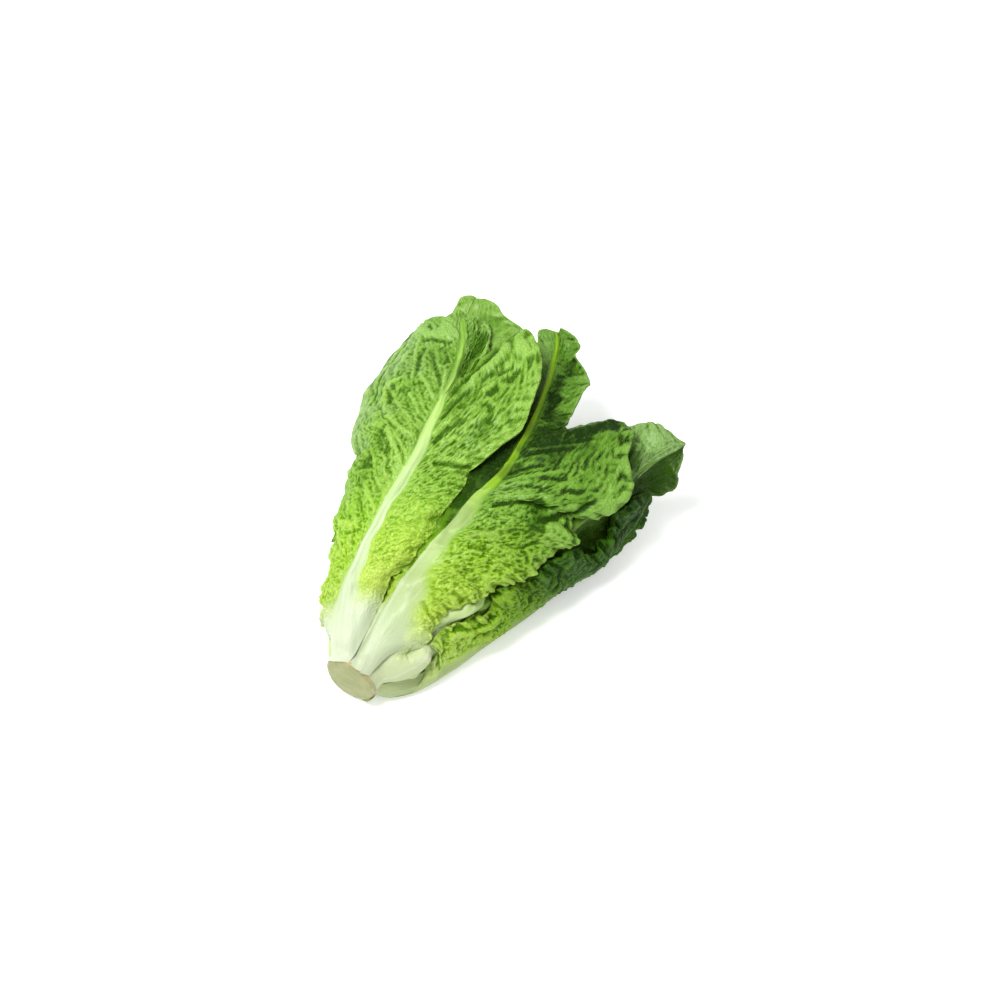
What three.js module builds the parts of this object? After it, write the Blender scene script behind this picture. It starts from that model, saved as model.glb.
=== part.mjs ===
import * as THREE from 'three';

// A head of romaine lettuce lying on its side, in millimetres.
// While it is shaped, y is the distance from the cut stem and z is the height over the table.

const bladeHalf = 0.6;        // half of a blade's thickness
const leafGap = 1.0;          // clear space kept between one leaf and the next
const stemRadius = 19.5;      // of the cut face
const stemLength = 4;
const stemHeight = 22;        // of the stem's centre over the table
const leafStart = 4.4;        // where the leaf bases begin
const lastRow = 0.982;        // share of a leaf's length at its blunt last row
const headMiddle = [-1.03, 141.22]; // moved over the origin at the end
const restHeight = 1.6;       // what hangs lower than this lies flat on the table

// The whole head along its length: distance, half width, half height, height of the middle.
const outline = [
  [0, 19, 19, 22],
  [20, 31, 24, 25],
  [40, 42, 28, 28],
  [70, 55, 35, 35],
  [100, 68, 42, 42],
  [120, 76, 44, 44],
  [155, 88, 47, 47],
  [190, 97, 49, 49],
  [245, 98, 47, 48],
  [300, 96, 46, 48],
];

// Leaves from the outermost in. A leaf either has a rib and two edges as points along it
// (edges begin with the share of the leaf's length), or an angle round the head with its
// spread to either side in degrees and its reach as a share of the head's outline.
const leaves = [
  {
    name: 'leaf_upper_left', colour: '#7fb544', rows: 38, columns: 15, seed: 1,
    fold: 1.3, veins: 9, waves: 8, ruffle: [1, 1.5, 2, 2, 2, 2, 2.5],
    ribHalf: [9, 10, 9, 7.5, 6, 5, 4.2, 3.2, 2.2, 1.2],
    ribHigh: [3, 4, 4, 3.5, 3, 2.5, 2, 1.4, 0.8, 0.4],
    bulgeLeft: [3, 4, 6, 8, 10, 14, 18, 19, 11, 3],
    bulgeRight: [2, 5, 6, 6, 4, 0, 3, -3, -3, 0],
    rib: [
      [-11, 5, 36], [-23, 29, 48], [-30, 50, 58], [-34, 75, 68], [-36, 102, 77],
      [-37, 129, 85], [-42, 159, 90], [-46, 190, 93], [-56, 222, 91], [-71, 248, 86],
    ],
    left: [
      [0, -18.5, 5, 25], [0.07, -25, 17, 26], [0.13, -38, 24, 30], [0.2, -43, 37, 33],
      [0.3, -52, 58, 36], [0.37, -59, 77, 38], [0.41, -68, 81, 42], [0.46, -68, 95, 42],
      [0.52, -78, 115, 42], [0.565, -79, 124, 45], [0.59, -68, 131, 58], [0.62, -73, 136, 58],
      [0.65, -89, 142, 46], [0.7, -103, 168, 26], [0.76, -110, 190, 22], [0.82, -112, 213, 24],
      [0.88, -109, 234, 34], [0.92, -101, 239, 58], [0.95, -93, 242, 74], [0.98, -79, 244, 82],
      [1, -72, 249, 86],
    ],
    right: [
      [0, -1, 5, 39.5], [0.1, -4.5, 38.5, 51], [0.2, -8, 59.5, 60], [0.3, -3.5, 80.5, 69.5],
      [0.4, -3, 102.5, 78.5], [0.46, -2.5, 120.5, 81.5], [0.5, -1.5, 133, 83.5],
      [0.53, -2.5, 144, 85.5], [0.545, 0, 150, 88.5], [0.57, 6, 165, 91], [0.6, 11, 178, 96],
      [0.625, 15, 189, 99], [0.65, 12, 206, 102], [0.68, 6, 227, 103], [0.7, -4, 243, 103],
      [0.72, -22, 255, 101], [0.735, -31, 243, 95], [0.75, -38, 238, 87], [0.78, -40, 237, 83],
      [0.82, -43, 241, 82], [0.87, -48, 252, 82], [0.92, -56, 258, 83], [0.97, -63, 255, 85],
      [1, -72, 249, 86],
    ],
  },
  {
    name: 'leaf_upper_middle', colour: '#6aa33c', rows: 42, columns: 15, seed: 2,
    fold: 1.5, veins: 10, waves: 9, ruffle: [1, 2, 2.5, 2.5, 2, 2, 2],
    ribHalf: [10, 13, 12, 10, 8.5, 7, 5, 3.5, 2.4, 1.5, 0.8],
    ribHigh: [2.6, 4.4, 4.5, 4, 3.5, 3, 2.4, 1.8, 1.2, 0.7, 0.4],
    bulgeLeft: [6, 9, 8, 3, 0, 0, -1, -1, -1, 0],
    bulgeRight: [2, 4, 6, 8, 8, 7, 4, -4, -6, -2],
    rib: [
      [8.5, 5, 38], [5, 33, 51], [4.5, 58, 62], [6.5, 82, 72.5], [11.5, 107, 81], [14.5, 134, 85],
      [19.5, 161, 86.5], [17, 190, 87], [9.5, 223, 85], [-4, 264, 80], [-14, 280, 78],
    ],
    left: [
      [0, -4, 5, 39], [0.1, -9, 30, 46], [0.2, -12.5, 53, 54.5], [0.3, -10, 74, 64],
      [0.4, -8.5, 95.5, 73], [0.5, -6.5, 124, 78], [0.6, -7.5, 154, 80.5], [0.7, -10, 190, 80],
      [0.8, -17, 224, 75], [0.88, -16, 248, 76], [0.93, -18, 262, 77], [0.97, -23, 272, 78],
      [1, -15, 281, 78],
    ],
    right: [
      [0, 13.5, 6, 35], [0.03, 17, 16.5, 40], [0.06, 21.5, 24.5, 42.5], [0.09, 28, 30.5, 42],
      [0.12, 34.5, 39, 41.5], [0.18, 36, 52, 49], [0.24, 41.5, 69, 55], [0.3, 54.5, 88, 56],
      [0.34, 62.5, 103, 57.5], [0.38, 68.5, 113.5, 56.5], [0.42, 73, 129, 59],
      [0.45, 77.5, 142.5, 60.5], [0.475, 82, 150, 61], [0.49, 75, 156, 65], [0.505, 72, 163, 69],
      [0.52, 86, 168, 72], [0.535, 94, 177, 73], [0.55, 98, 187, 75], [0.565, 96, 200, 77],
      [0.58, 89, 208, 79], [0.595, 81, 217, 82], [0.61, 77, 231, 84], [0.625, 71, 236, 84],
      [0.64, 61, 236, 85], [0.655, 53, 229, 85], [0.67, 45, 220, 83], [0.685, 38, 212, 82],
      [0.7, 34, 209, 83], [0.74, 36, 213, 87], [0.78, 34, 225, 88], [0.82, 32, 242, 89],
      [0.84, 32, 248, 89], [0.87, 21, 258, 87], [0.89, 10, 265, 84], [0.92, 8, 274, 83],
      [0.95, -2, 280, 81], [0.975, -10, 282, 79], [1, -15, 281, 78],
    ],
  },
  {
    name: 'leaf_lower_right', colour: '#4f8a3a', rows: 34, columns: 11, seed: 4,
    fold: 1.2, veins: 9, waves: 11, ruffle: [1, 2, 2, 2, 2.5, 2],
    ribHalf: [9, 11, 9, 7, 5, 4, 3, 2, 1.5, 1],
    ribHigh: [2.6, 3.5, 3.5, 3, 2.4, 1.8, 1.4, 1, 0.7, 0.4],
    bulgeLeft: [3, 4, 5, 6, 6, 6, 5, 4, 3, 1],
    bulgeRight: [1, 2, 3, 3, 3, 3, 2, 1, 0],
    rib: [
      [14, 5, 10], [32, 27, 6], [45, 55, 7], [55, 84, 8], [66, 112, 10], [76, 140, 13],
      [88, 162, 17], [93, 184, 22], [97, 204, 30], [101, 218, 53],
    ],
    left: [
      [0, 18, 5, 23], [0.08, 34, 31, 16.5], [0.11, 37, 35.5, 24], [0.15, 42.5, 44, 30],
      [0.2, 37.5, 48, 42.5], [0.27, 44, 63, 45.5], [0.34, 52, 75.5, 44], [0.4, 58, 87, 44],
      [0.44, 57.5, 94.5, 51.5], [0.5, 63.5, 108, 52], [0.56, 68.5, 119, 51.5], [0.6, 72, 131, 52.5],
      [0.65, 78, 148.5, 52], [0.69, 84, 156, 41], [0.72, 87.5, 163, 36], [0.75, 88.5, 170, 36.5],
      [0.79, 90, 174, 42], [0.85, 88, 188, 46], [0.91, 91.5, 199.5, 55], [0.96, 96.5, 211.5, 55.5],
      [1, 101, 218, 53],
    ],
    right: [
      [0, 5, 5, 4], [0.1, 21, 17, 1], [0.2, 32, 43, 1], [0.3, 39, 68, 1], [0.4, 49, 97, 2],
      [0.5, 59, 125, 3], [0.6, 70, 151, 5], [0.7, 83, 176, 8], [0.8, 93, 197, 14],
      [0.9, 97, 212, 27], [1, 101, 218, 53],
    ],
  },
  {
    name: 'leaf_underside', colour: '#5b9140', rows: 24, columns: 11, seed: 3, ruffle: 2,
    angle: [-98, -98, -99, -100], along: [5.4, 60, 130, 200, 262],
    spreadLeft: [46, 50, 50, 50, 46, 38, 28], spreadRight: [40, 54, 60, 62, 58, 44, 30],
    reach: [0.93, 0.96, 1, 1, 1, 0.95],
  },
  {
    name: 'leaf_lower_left', colour: '#6d9f49', rows: 24, columns: 11, seed: 6, ruffle: 2,
    angle: [-150, -150, -148, -148], along: [5.6, 60, 130, 200, 256],
    spreadLeft: [40, 55, 62, 66, 60, 45, 30], spreadRight: [40, 50, 60, 62, 60, 45, 30],
    reach: [0.92, 0.95, 1, 1, 1, 0.93],
  },
  {
    name: 'leaf_right', colour: '#5f9c41', rows: 30, columns: 13, seed: 7,
    fold: 1.2, veins: 9, waves: 9, ruffle: 2,
    ribHalf: [7, 9, 8, 6.5, 5.5, 4.5, 3.5, 2.6, 1.8, 1],
    ribHigh: [1.6, 2.2, 2.4, 2.4, 2.1, 1.8, 1.4, 1, 0.7, 0.4],
    bulgeLeft: [2, 3, 4, 4, 3, 2, 2, 4, 6, 2],
    bulgeRight: [2, 2, 2, 0, -3, -5, -6, -6, -5, 0],
    rib: [
      [17, 8, 25], [31, 25.5, 32], [39.5, 45, 38], [45.5, 69.5, 49.5], [57, 95, 53.5],
      [67.5, 130.5, 58.5], [77, 167, 62.5], [85, 198, 64], [91, 224, 66], [107, 257, 68],
    ],
    left: [
      [0, 8, 8, 34], [0.1, 17.5, 26, 43], [0.2, 19, 46, 50.5], [0.3, 21, 70, 60.5],
      [0.4, 27.5, 96, 69], [0.5, 38.5, 128.5, 73], [0.6, 48, 169, 77], [0.7, 56, 205, 78],
      [0.76, 63, 226, 79], [0.8, 70, 239, 79], [0.86, 74, 245, 79], [0.9, 80, 249, 79],
      [0.94, 89, 252, 76], [0.97, 99, 252, 72], [1, 104, 252, 68],
    ],
    right: [
      [0, 19, 8, 7], [0.1, 41, 31, 5], [0.2, 50, 55, 10], [0.3, 54, 82, 18], [0.4, 63, 109, 24],
      [0.5, 73, 137, 24], [0.6, 85, 163, 24], [0.7, 93, 188, 29], [0.78, 101, 204, 39.5],
      [0.83, 103.5, 218, 39.5], [0.88, 106, 232, 39.5], [0.93, 110, 235, 58], [0.97, 108, 244, 63],
      [1, 104, 252, 68],
    ],
  },
  {
    name: 'leaf_back_left', colour: '#93c25a', rows: 26, columns: 11, seed: 8,
    fold: 0.8, veins: 8, waves: 7, ruffle: [0.5, 1, 1.5, 1.5, 1.5, 1],
    ribHalf: [6, 8, 7, 6, 5, 4, 3, 2.2, 1.6, 1],
    ribHigh: [1.5, 2.4, 2.4, 2.2, 2, 1.6, 1.2, 0.9, 0.6, 0.4],
    bulgeLeft: [1, 2, 3, 3, 3, 3, 2, 1],
    bulgeRight: [1, 1, 1, 1, 0, 0, -1, 0],
    rib: [
      [-7, 11, 33], [-21, 45, 46], [-32, 85, 60], [-43, 125, 71], [-52, 165, 79], [-60, 205, 80],
      [-66, 240, 79], [-74, 277, 77],
    ],
    left: [
      [0, -12, 11, 29], [0.15, -36, 45, 42], [0.3, -62, 90, 48], [0.45, -76, 135, 56],
      [0.6, -86, 175, 62], [0.75, -92, 210, 66], [0.87, -84, 245, 74], [0.92, -82, 258, 76],
      [0.96, -82, 268, 77], [1, -74, 275, 77],
    ],
    right: [
      [0, -2, 11, 34], [0.15, -6, 45, 46], [0.3, -8, 90, 58], [0.45, -8, 135, 68],
      [0.6, -6, 175, 77], [0.75, -12, 215, 80], [0.84, -35, 250, 82], [0.875, -30, 260, 82],
      [0.905, -33, 267, 82], [0.93, -48, 269, 81], [0.96, -57, 274, 80], [0.98, -65, 275, 79],
      [1, -74, 275, 77],
    ],
  },
  {
    name: 'leaf_left', colour: '#84b653', rows: 22, columns: 9, seed: 5, ruffle: 2.5,
    angle: [172, 172, 170, 168], along: [12, 60, 130, 200, 250],
    spreadLeft: [30, 45, 55, 58, 52, 40, 30], spreadRight: [30, 40, 50, 55, 52, 40, 30],
    reach: [0.78, 0.88, 0.93, 0.93, 0.93, 0.88],
  },
  {
    name: 'leaf_inner_right', colour: '#8fbd58', rows: 22, columns: 9, seed: 9, ruffle: 2,
    angle: [-40, -40, -42, -44], along: [14, 60, 130, 190, 240],
    spreadLeft: [40, 50, 55, 55, 50, 40, 30], spreadRight: [40, 50, 55, 55, 50, 40, 30],
    reach: [0.68, 0.82, 0.86, 0.86, 0.84, 0.8],
  },
  {
    name: 'leaf_inner_under', colour: '#a3cb66', rows: 17, columns: 7, seed: 10, ruffle: 1.6,
    angle: [-120, -120, -122], along: [18, 60, 130, 190, 236],
    spreadLeft: [40, 55, 60, 60, 52, 40, 30], spreadRight: [40, 55, 60, 60, 52, 40, 30],
    reach: [0.55, 0.66, 0.7, 0.7, 0.68, 0.6],
  },
  {
    name: 'leaf_inner_top', colour: '#aed172', rows: 17, columns: 7, seed: 11, ruffle: 1.6,
    angle: [66, 66, 70], along: [20, 60, 130, 180, 222],
    spreadLeft: [40, 55, 60, 60, 52, 40, 30], spreadRight: [40, 55, 60, 60, 52, 40, 30],
    reach: [0.55, 0.66, 0.7, 0.7, 0.68, 0.6],
  },
  {
    name: 'leaf_inner_left', colour: '#b4d57a', rows: 17, columns: 7, seed: 12, ruffle: 1.6,
    angle: [160, 160, 158], along: [24, 60, 130, 180, 232],
    spreadLeft: [40, 60, 65, 62, 55, 40, 30], spreadRight: [40, 60, 65, 62, 55, 40, 30],
    reach: [0.42, 0.52, 0.56, 0.56, 0.54, 0.5],
  },
  {
    name: 'leaf_inner_middle', colour: '#bbd982', rows: 17, columns: 7, seed: 13, ruffle: 1.6,
    angle: [0, 0, -2], along: [28, 60, 130, 180, 228],
    spreadLeft: [40, 60, 65, 62, 55, 40, 30], spreadRight: [40, 60, 65, 62, 55, 40, 30],
    reach: [0.36, 0.46, 0.5, 0.5, 0.48, 0.42],
  },
  {
    name: 'leaf_heart_top', colour: '#cfe08f', rows: 13, columns: 7, seed: 14, ruffle: 1.2,
    angle: [95, 95, 92], along: [34, 60, 110, 160, 212],
    spreadLeft: [60, 75, 80, 75, 65, 50, 34], spreadRight: [60, 75, 80, 75, 65, 50, 34],
    reach: [0.28, 0.35, 0.38, 0.38, 0.36, 0.3],
  },
  {
    name: 'leaf_heart_under', colour: '#d6e49a', rows: 13, columns: 7, seed: 15, ruffle: 1.2,
    angle: [-80, -80, -84], along: [40, 60, 110, 160, 202],
    spreadLeft: [60, 75, 80, 75, 65, 50, 34], spreadRight: [60, 75, 80, 75, 65, 50, 34],
    reach: [0.2, 0.26, 0.3, 0.3, 0.28, 0.2],
  },
];

const clamp = (value, low, high) => Math.min(Math.max(value, low), high);
const add = (a, b) => a.map((value, i) => value + b[i]);
const scaled = (a, factor) => a.map((value) => value * factor);
const dot = (a, b) => a[0] * b[0] + a[1] * b[1] + a[2] * b[2];
const between = (a, b, t) => a.map((value, i) => value * (1 - t) + b[i] * t);
const unit = (a) => scaled(a, 1 / Math.max(Math.hypot(...a), 1e-9));
const radians = (degrees) => degrees * Math.PI / 180;

function cross(a, b) {
  return [a[1] * b[2] - a[2] * b[1], a[2] * b[0] - a[0] * b[2], a[0] * b[1] - a[1] * b[0]];
}

// half width, half height and middle height of the head at a distance along it
function headAt(y) {
  let i = 0;
  while (i < outline.length - 2 && y > outline[i + 1][0]) i += 1;
  const t = clamp((y - outline[i][0]) / (outline[i + 1][0] - outline[i][0]), 0, 1);
  return between(outline[i].slice(1), outline[i + 1].slice(1), t);
}

// smooth curve through points given at stations
function smoothCurve(points, stations, u) {
  let i = 0;
  while (i < points.length - 2 && u >= stations[i + 1]) i += 1;
  const t = (u - stations[i]) / (stations[i + 1] - stations[i]);
  const before = i > 0 ? points[i - 1] : add(scaled(points[0], 2), scaled(points[1], -1));
  const last = points.length - 1;
  const after = i + 2 <= last
    ? points[i + 2] : add(scaled(points[last], 2), scaled(points[last - 1], -1));
  return points[i].map((start, k) => {
    const end = points[i + 1][k];
    const leave = 0.5 * (end - before[k]);
    const arrive = 0.5 * (after[k] - start);
    const square = -3 * start + 3 * end - 2 * leave - arrive;
    const cube = 2 * start - 2 * end + leave + arrive;
    return start + leave * t + square * t * t + cube * t * t * t;
  });
}

function evenly(count) {
  return Array.from({ length: count }, (_, i) => i / (count - 1));
}

function pointAlong(points, u) {
  return smoothCurve(points, evenly(points.length), u);
}

function edgeAlong(table, u) {
  return smoothCurve(table.map((row) => row.slice(1)), table.map((row) => row[0]), u);
}

function valueAlong(values, u, fallback) {
  if (values === undefined) return valueAlong(fallback, u);
  if (!Array.isArray(values)) return values;
  return smoothCurve(values.map((value) => [value]), evenly(values.length), u)[0];
}

function ribHalfAt(leaf, u) {
  return valueAlong(leaf.ribHalf, u, [8, 9, 8, 6, 4.5, 3.4, 2.4, 1.6, 1]);
}

function ribHighAt(leaf, u) {
  return valueAlong(leaf.ribHigh, u, [1.6, 2.2, 2.2, 2, 1.6, 1.2, 0.9, 0.6, 0.4]);
}

// straight away from the head's axis
function outward(p) {
  const [width, height, middle] = headAt(p[1]);
  return unit([p[0] / width ** 2, 0, (p[2] - middle) / height ** 2]);
}

// place on the head's outline scaled by reach, with the share, angle and size of a step there
function ringPlace(p) {
  const [width, height, middle] = headAt(p[1]);
  const x = p[0] / width;
  const z = (p[2] - middle) / height;
  const reach = Math.max(Math.hypot(x, z), 1e-6);
  return { reach, angle: Math.atan2(z, x), step: Math.hypot(x / width, z / height) / reach };
}

// a point of a leaf's middle layer: u along it, across from -1 at the left edge to 1
function leafPoint(leaf, u, across) {
  const side = across < 0 ? 'Left' : 'Right';
  const turn = across < 0 ? -1 : 1;
  const v = Math.abs(across);
  let p;
  let length;
  if (leaf.angle) {
    const spread = valueAlong(leaf[`spread${side}`], u);
    const tip = Math.sqrt(1 - clamp((u - 0.72) / 0.28, 0, 1) ** 2);
    const angle = radians(valueAlong(leaf.angle, u) - turn * spread * v * tip);
    const y = valueAlong(leaf.along, u) + valueAlong([4, 14, 20, 20, 12, 2, 0], u) * v;
    const reach = valueAlong(leaf.reach, u);
    const [width, height, middle] = headAt(y);
    p = [reach * width * Math.cos(angle), y, middle + reach * height * Math.sin(angle)];
    length = width * radians(spread);
  } else {
    const rib = pointAlong(leaf.rib, u);
    const edge = edgeAlong(across < 0 ? leaf.left : leaf.right, u);
    const chord = add(edge, scaled(rib, -1));
    const along = unit(chord);
    let lift = outward(between(rib, edge, 0.5));
    lift = unit(add(lift, scaled(along, -dot(lift, along))));
    const bulge = valueAlong(leaf[`bulge${side}`], u);
    p = add(between(rib, edge, v), scaled(lift, 4 * v * (1 - v) * bulge));
    length = Math.hypot(...chord);
  }
  const phase = leaf.seed * 1.7 + (across < 0 ? 0 : 0.9);
  const fade = clamp(u * 5, 0, 1) * clamp((1 - u) * 10, 0, 1) * clamp(length / 30, 0, 1);
  const turns = 2 * Math.PI * u;
  const foldSize = (leaf.fold ?? 1.2) * clamp(v * 4, 0, 1) * (1 - 0.4 * v);
  const fold = foldSize * Math.sin(turns * (leaf.veins ?? 9) + phase);
  const waves = leaf.waves ?? 7;
  const wave = Math.sin(turns * waves + phase + 1.3 * v)
    + 0.5 * Math.sin(turns * waves * 1.63 + 2 * phase - v);
  const ruffle = valueAlong(leaf.ruffle, u) * v * v * wave;
  return add(p, scaled(outward(p), (fold + ruffle) * fade));
}

// Keeps the innermost reach of the leaves laid so far, over distance and angle.
const ringStep = 4;
const ringStart = -12;
const ringCount = 84;
const angleCount = 120;
const steepest = 0.8;
const laid = Array.from({ length: ringCount }, () => new Array(angleCount).fill(9));

function lowered(limits, amount) {
  return limits.map((ring, i) => ring.map((value, j) => {
    const [rise, turnRise] = amount(i);
    let low = value;
    low = Math.min(low, ring[(j + 1) % angleCount] + turnRise);
    low = Math.min(low, ring[(j + angleCount - 1) % angleCount] + turnRise);
    if (i > 0) low = Math.min(low, limits[i - 1][j] + rise);
    if (i < ringCount - 1) low = Math.min(low, limits[i + 1][j] + rise);
    return low;
  }));
}

function easedLimits() {
  let limits = lowered(laid, () => [0, 0]);
  for (let pass = 0; pass < 14; pass += 1) {
    limits = lowered(limits, (i) => {
      const [width, height] = headAt(ringStart + (i + 1) * ringStep);
      return [steepest * ringStep / ((width + height) / 2), steepest * 2 * Math.PI / angleCount];
    });
  }
  return limits;
}

function limitAt(limits, y, angle) {
  const i = clamp((y - ringStart) / ringStep, 0, ringCount - 1.001);
  const j = (angle + Math.PI) / (2 * Math.PI) * angleCount;
  const ring = Math.floor(i);
  const turn = Math.floor(j);
  const s = i - ring;
  const t = j - turn;
  const at = (a, b) => limits[a][b % angleCount];
  const near = at(ring, turn) * (1 - t) + at(ring, turn + 1) * t;
  const far = at(ring + 1, turn) * (1 - t) + at(ring + 1, turn + 1) * t;
  return near * (1 - s) + far * s;
}

// calls use(point, corners with their shares) for points spread over the whole sheet
function overSheet(points, parts, use) {
  for (let i = 0; i < points.length - 1; i += 1) {
    for (let j = 0; j < points[0].length - 1; j += 1) {
      for (let a = 0; a <= parts; a += 1) {
        for (let b = 0; b <= parts; b += 1) {
          const s = a / parts;
          const t = b / parts;
          const low = between(points[i][j], points[i + 1][j], s);
          const high = between(points[i][j + 1], points[i + 1][j + 1], s);
          const corners = [
            [i, j, (1 - s) * (1 - t)], [i + 1, j, s * (1 - t)],
            [i, j + 1, (1 - s) * t], [i + 1, j + 1, s * t],
          ];
          use(between(low, high, t), corners);
        }
      }
    }
  }
}

function layDown(points) {
  overSheet(points, 4, (p) => {
    const place = ringPlace(p);
    const ring = clamp(Math.round((p[1] - ringStart) / ringStep), 0, ringCount - 1);
    const turn = Math.round((place.angle + Math.PI) / (2 * Math.PI) * angleCount) % angleCount;
    laid[ring][turn] = Math.min(laid[ring][turn], place.reach - bladeHalf * place.step);
  });
}

// the leaf's middle layer as rows of points, bent clear of the leaves round it, and its thickness
function layLeaf(leaf) {
  const limits = easedLimits();
  const half = (leaf.columns - 1) / 2;
  const points = [];
  const depths = [];
  for (let i = 0; i < leaf.rows; i += 1) {
    const u = lastRow * i / (leaf.rows - 1);
    const row = [];
    for (let j = 0; j < leaf.columns; j += 1) {
      const k = (j - half) / half;
      row.push(leafPoint(leaf, u, Math.sign(k) * Math.abs(k) ** 1.25));
    }
    const rib = row[half];
    const thick = row.map((p) => {
      const away = Math.hypot(...add(p, scaled(rib, -1)));
      return bladeHalf + ribHighAt(leaf, u) * Math.max(1 - (away / ribHalfAt(leaf, u)) ** 2, 0);
    });
    points.push(row);
    depths.push(thick);
  }
  for (let pass = 0; pass < 5; pass += 1) {
    const cuts = points.map((row) => row.map(() => 0));
    overSheet(points, 3, (p, corners) => {
      const place = ringPlace(p);
      const thick = corners.reduce((sum, [i, j, share]) => sum + depths[i][j] * share, 0);
      const room = limitAt(limits, p[1], place.angle) - (leafGap + thick) * place.step;
      const excess = place.reach - Math.max(room, 0.05);
      if (excess <= 0) return;
      corners.forEach(([i, j, share]) => {
        if (share > 0.2) cuts[i][j] = Math.max(cuts[i][j], excess);
      });
    });
    points.forEach((row, i) => row.forEach((p, j) => {
      const { reach } = ringPlace(p);
      const shrink = Math.max(reach - cuts[i][j], 0.03) / reach;
      const middle = headAt(p[1])[2];
      row[j] = [p[0] * shrink, p[1], Math.max(middle + (p[2] - middle) * shrink, depths[i][j])];
    }));
  }
  layDown(points);
  return { points, depths };
}

function meshFrom(name, colour, vertices, faces, roughness) {
  const geometry = new THREE.BufferGeometry();
  const moved = vertices.flatMap((p) => [p[0] - headMiddle[0], p[1] - headMiddle[1], p[2]]);
  geometry.setAttribute('position', new THREE.Float32BufferAttribute(moved, 3));
  geometry.setIndex(faces.flat());
  geometry.computeVertexNormals();
  const finish = new THREE.MeshStandardMaterial({ color: colour, roughness, metalness: 0 });
  const mesh = new THREE.Mesh(geometry, finish);
  mesh.name = name;
  return mesh;
}

// which way each point of a sheet faces, evened out over its neighbours
function facings(points) {
  const rows = points.length;
  const columns = points[0].length;
  const near = (grid, i, j) => grid[clamp(i, 0, rows - 1)][clamp(j, 0, columns - 1)];
  let facing = points.map((row, i) => row.map((_, j) => {
    const along = add(near(points, i + 1, j), scaled(near(points, i - 1, j), -1));
    const beside = add(near(points, i, j + 1), scaled(near(points, i, j - 1), -1));
    return unit(cross(beside, along));
  }));
  for (let pass = 0; pass < 2; pass += 1) {
    const last = facing;
    facing = last.map((row, i) => row.map((own, j) => {
      const lengthways = add(near(last, i - 1, j), near(last, i + 1, j));
      const sideways = add(near(last, i, j - 1), near(last, i, j + 1));
      return unit(add(scaled(own, 2), add(lengthways, sideways)));
    }));
  }
  return facing;
}

// a closed thin solid: both faces share one pattern of triangles
function leafSolid(leaf) {
  const { points, depths } = layLeaf(leaf);
  const rows = points.length;
  const columns = points[0].length;
  const facing = facings(points);
  const outer = [];
  const inner = [];
  for (let i = 0; i < rows; i += 1) {
    for (let j = 0; j < columns; j += 1) {
      const back = add(points[i][j], scaled(facing[i][j], depths[i][j]));
      const front = add(points[i][j], scaled(facing[i][j], -bladeHalf));
      outer.push([back[0], Math.max(back[1], leafStart), back[2] < restHeight ? 0 : back[2]]);
      inner.push([front[0], Math.max(front[1], leafStart), Math.max(front[2], 2 * bladeHalf)]);
    }
  }
  const faces = [];
  const count = rows * columns;
  const at = (i, j) => i * columns + j;
  const quad = (a, b, c, d) => {
    faces.push([a, b, c]);
    faces.push([a, c, d]);
  };
  for (let i = 0; i < rows - 1; i += 1) {
    for (let j = 0; j < columns - 1; j += 1) {
      const corners = [at(i, j), at(i, j + 1), at(i + 1, j + 1), at(i + 1, j)];
      quad(...corners);
      faces.push([corners[0] + count, corners[2] + count, corners[1] + count]);
      faces.push([corners[0] + count, corners[3] + count, corners[2] + count]);
    }
  }
  for (let i = 0; i < rows - 1; i += 1) {
    const last = columns - 1;
    quad(at(i, 0), at(i + 1, 0), at(i + 1, 0) + count, at(i, 0) + count);
    quad(at(i, last), at(i, last) + count, at(i + 1, last) + count, at(i + 1, last));
  }
  for (let j = 0; j < columns - 1; j += 1) {
    const last = rows - 1;
    quad(at(0, j), at(0, j) + count, at(0, j + 1) + count, at(0, j + 1));
    quad(at(last, j), at(last, j + 1), at(last, j + 1) + count, at(last, j) + count);
  }
  return meshFrom(leaf.name, leaf.colour, [...outer, ...inner], faces, 0.55);
}

// the cut stem: a short disc, slightly domed at its cut face
function stemSolid() {
  const sides = 40;
  const rings = [
    [stemRadius * 0.55, 0.1], [stemRadius * 0.93, 0.4], [stemRadius, 1.4],
    [stemRadius + 0.5, stemLength * 0.6], [stemRadius + 0.3, stemLength],
    [stemRadius * 0.55, stemLength],
  ];
  const vertices = [[0, 0, stemHeight]];
  rings.forEach(([radius, y]) => {
    for (let k = 0; k < sides; k += 1) {
      const angle = 2 * Math.PI * k / sides;
      const uneven = 1 + 0.02 * Math.sin(3 * angle + 1) + 0.015 * Math.sin(5 * angle);
      const r = radius * (y < stemLength || radius > stemRadius ? uneven : 1);
      vertices.push([r * Math.cos(angle), y, stemHeight + r * Math.sin(angle)]);
    }
  });
  vertices.push([0, stemLength, stemHeight]);
  const faces = [];
  const at = (ring, k) => 1 + ring * sides + (k % sides);
  const end = vertices.length - 1;
  for (let k = 0; k < sides; k += 1) {
    faces.push([0, at(0, k), at(0, k + 1)]);
    for (let ring = 0; ring < rings.length - 1; ring += 1) {
      faces.push([at(ring, k), at(ring + 1, k), at(ring + 1, k + 1)]);
      faces.push([at(ring, k), at(ring + 1, k + 1), at(ring, k + 1)]);
    }
    faces.push([end, at(rings.length - 1, k + 1), at(rings.length - 1, k)]);
  }
  return meshFrom('stem', '#c9cf9e', vertices, faces, 0.6);
}

const head = new THREE.Group();
head.name = 'romaine_lettuce_head';
head.add(stemSolid());
leaves.forEach((leaf) => head.add(leafSolid(leaf)));

export default head;
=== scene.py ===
from math import cos, pi, radians, sin

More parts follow.
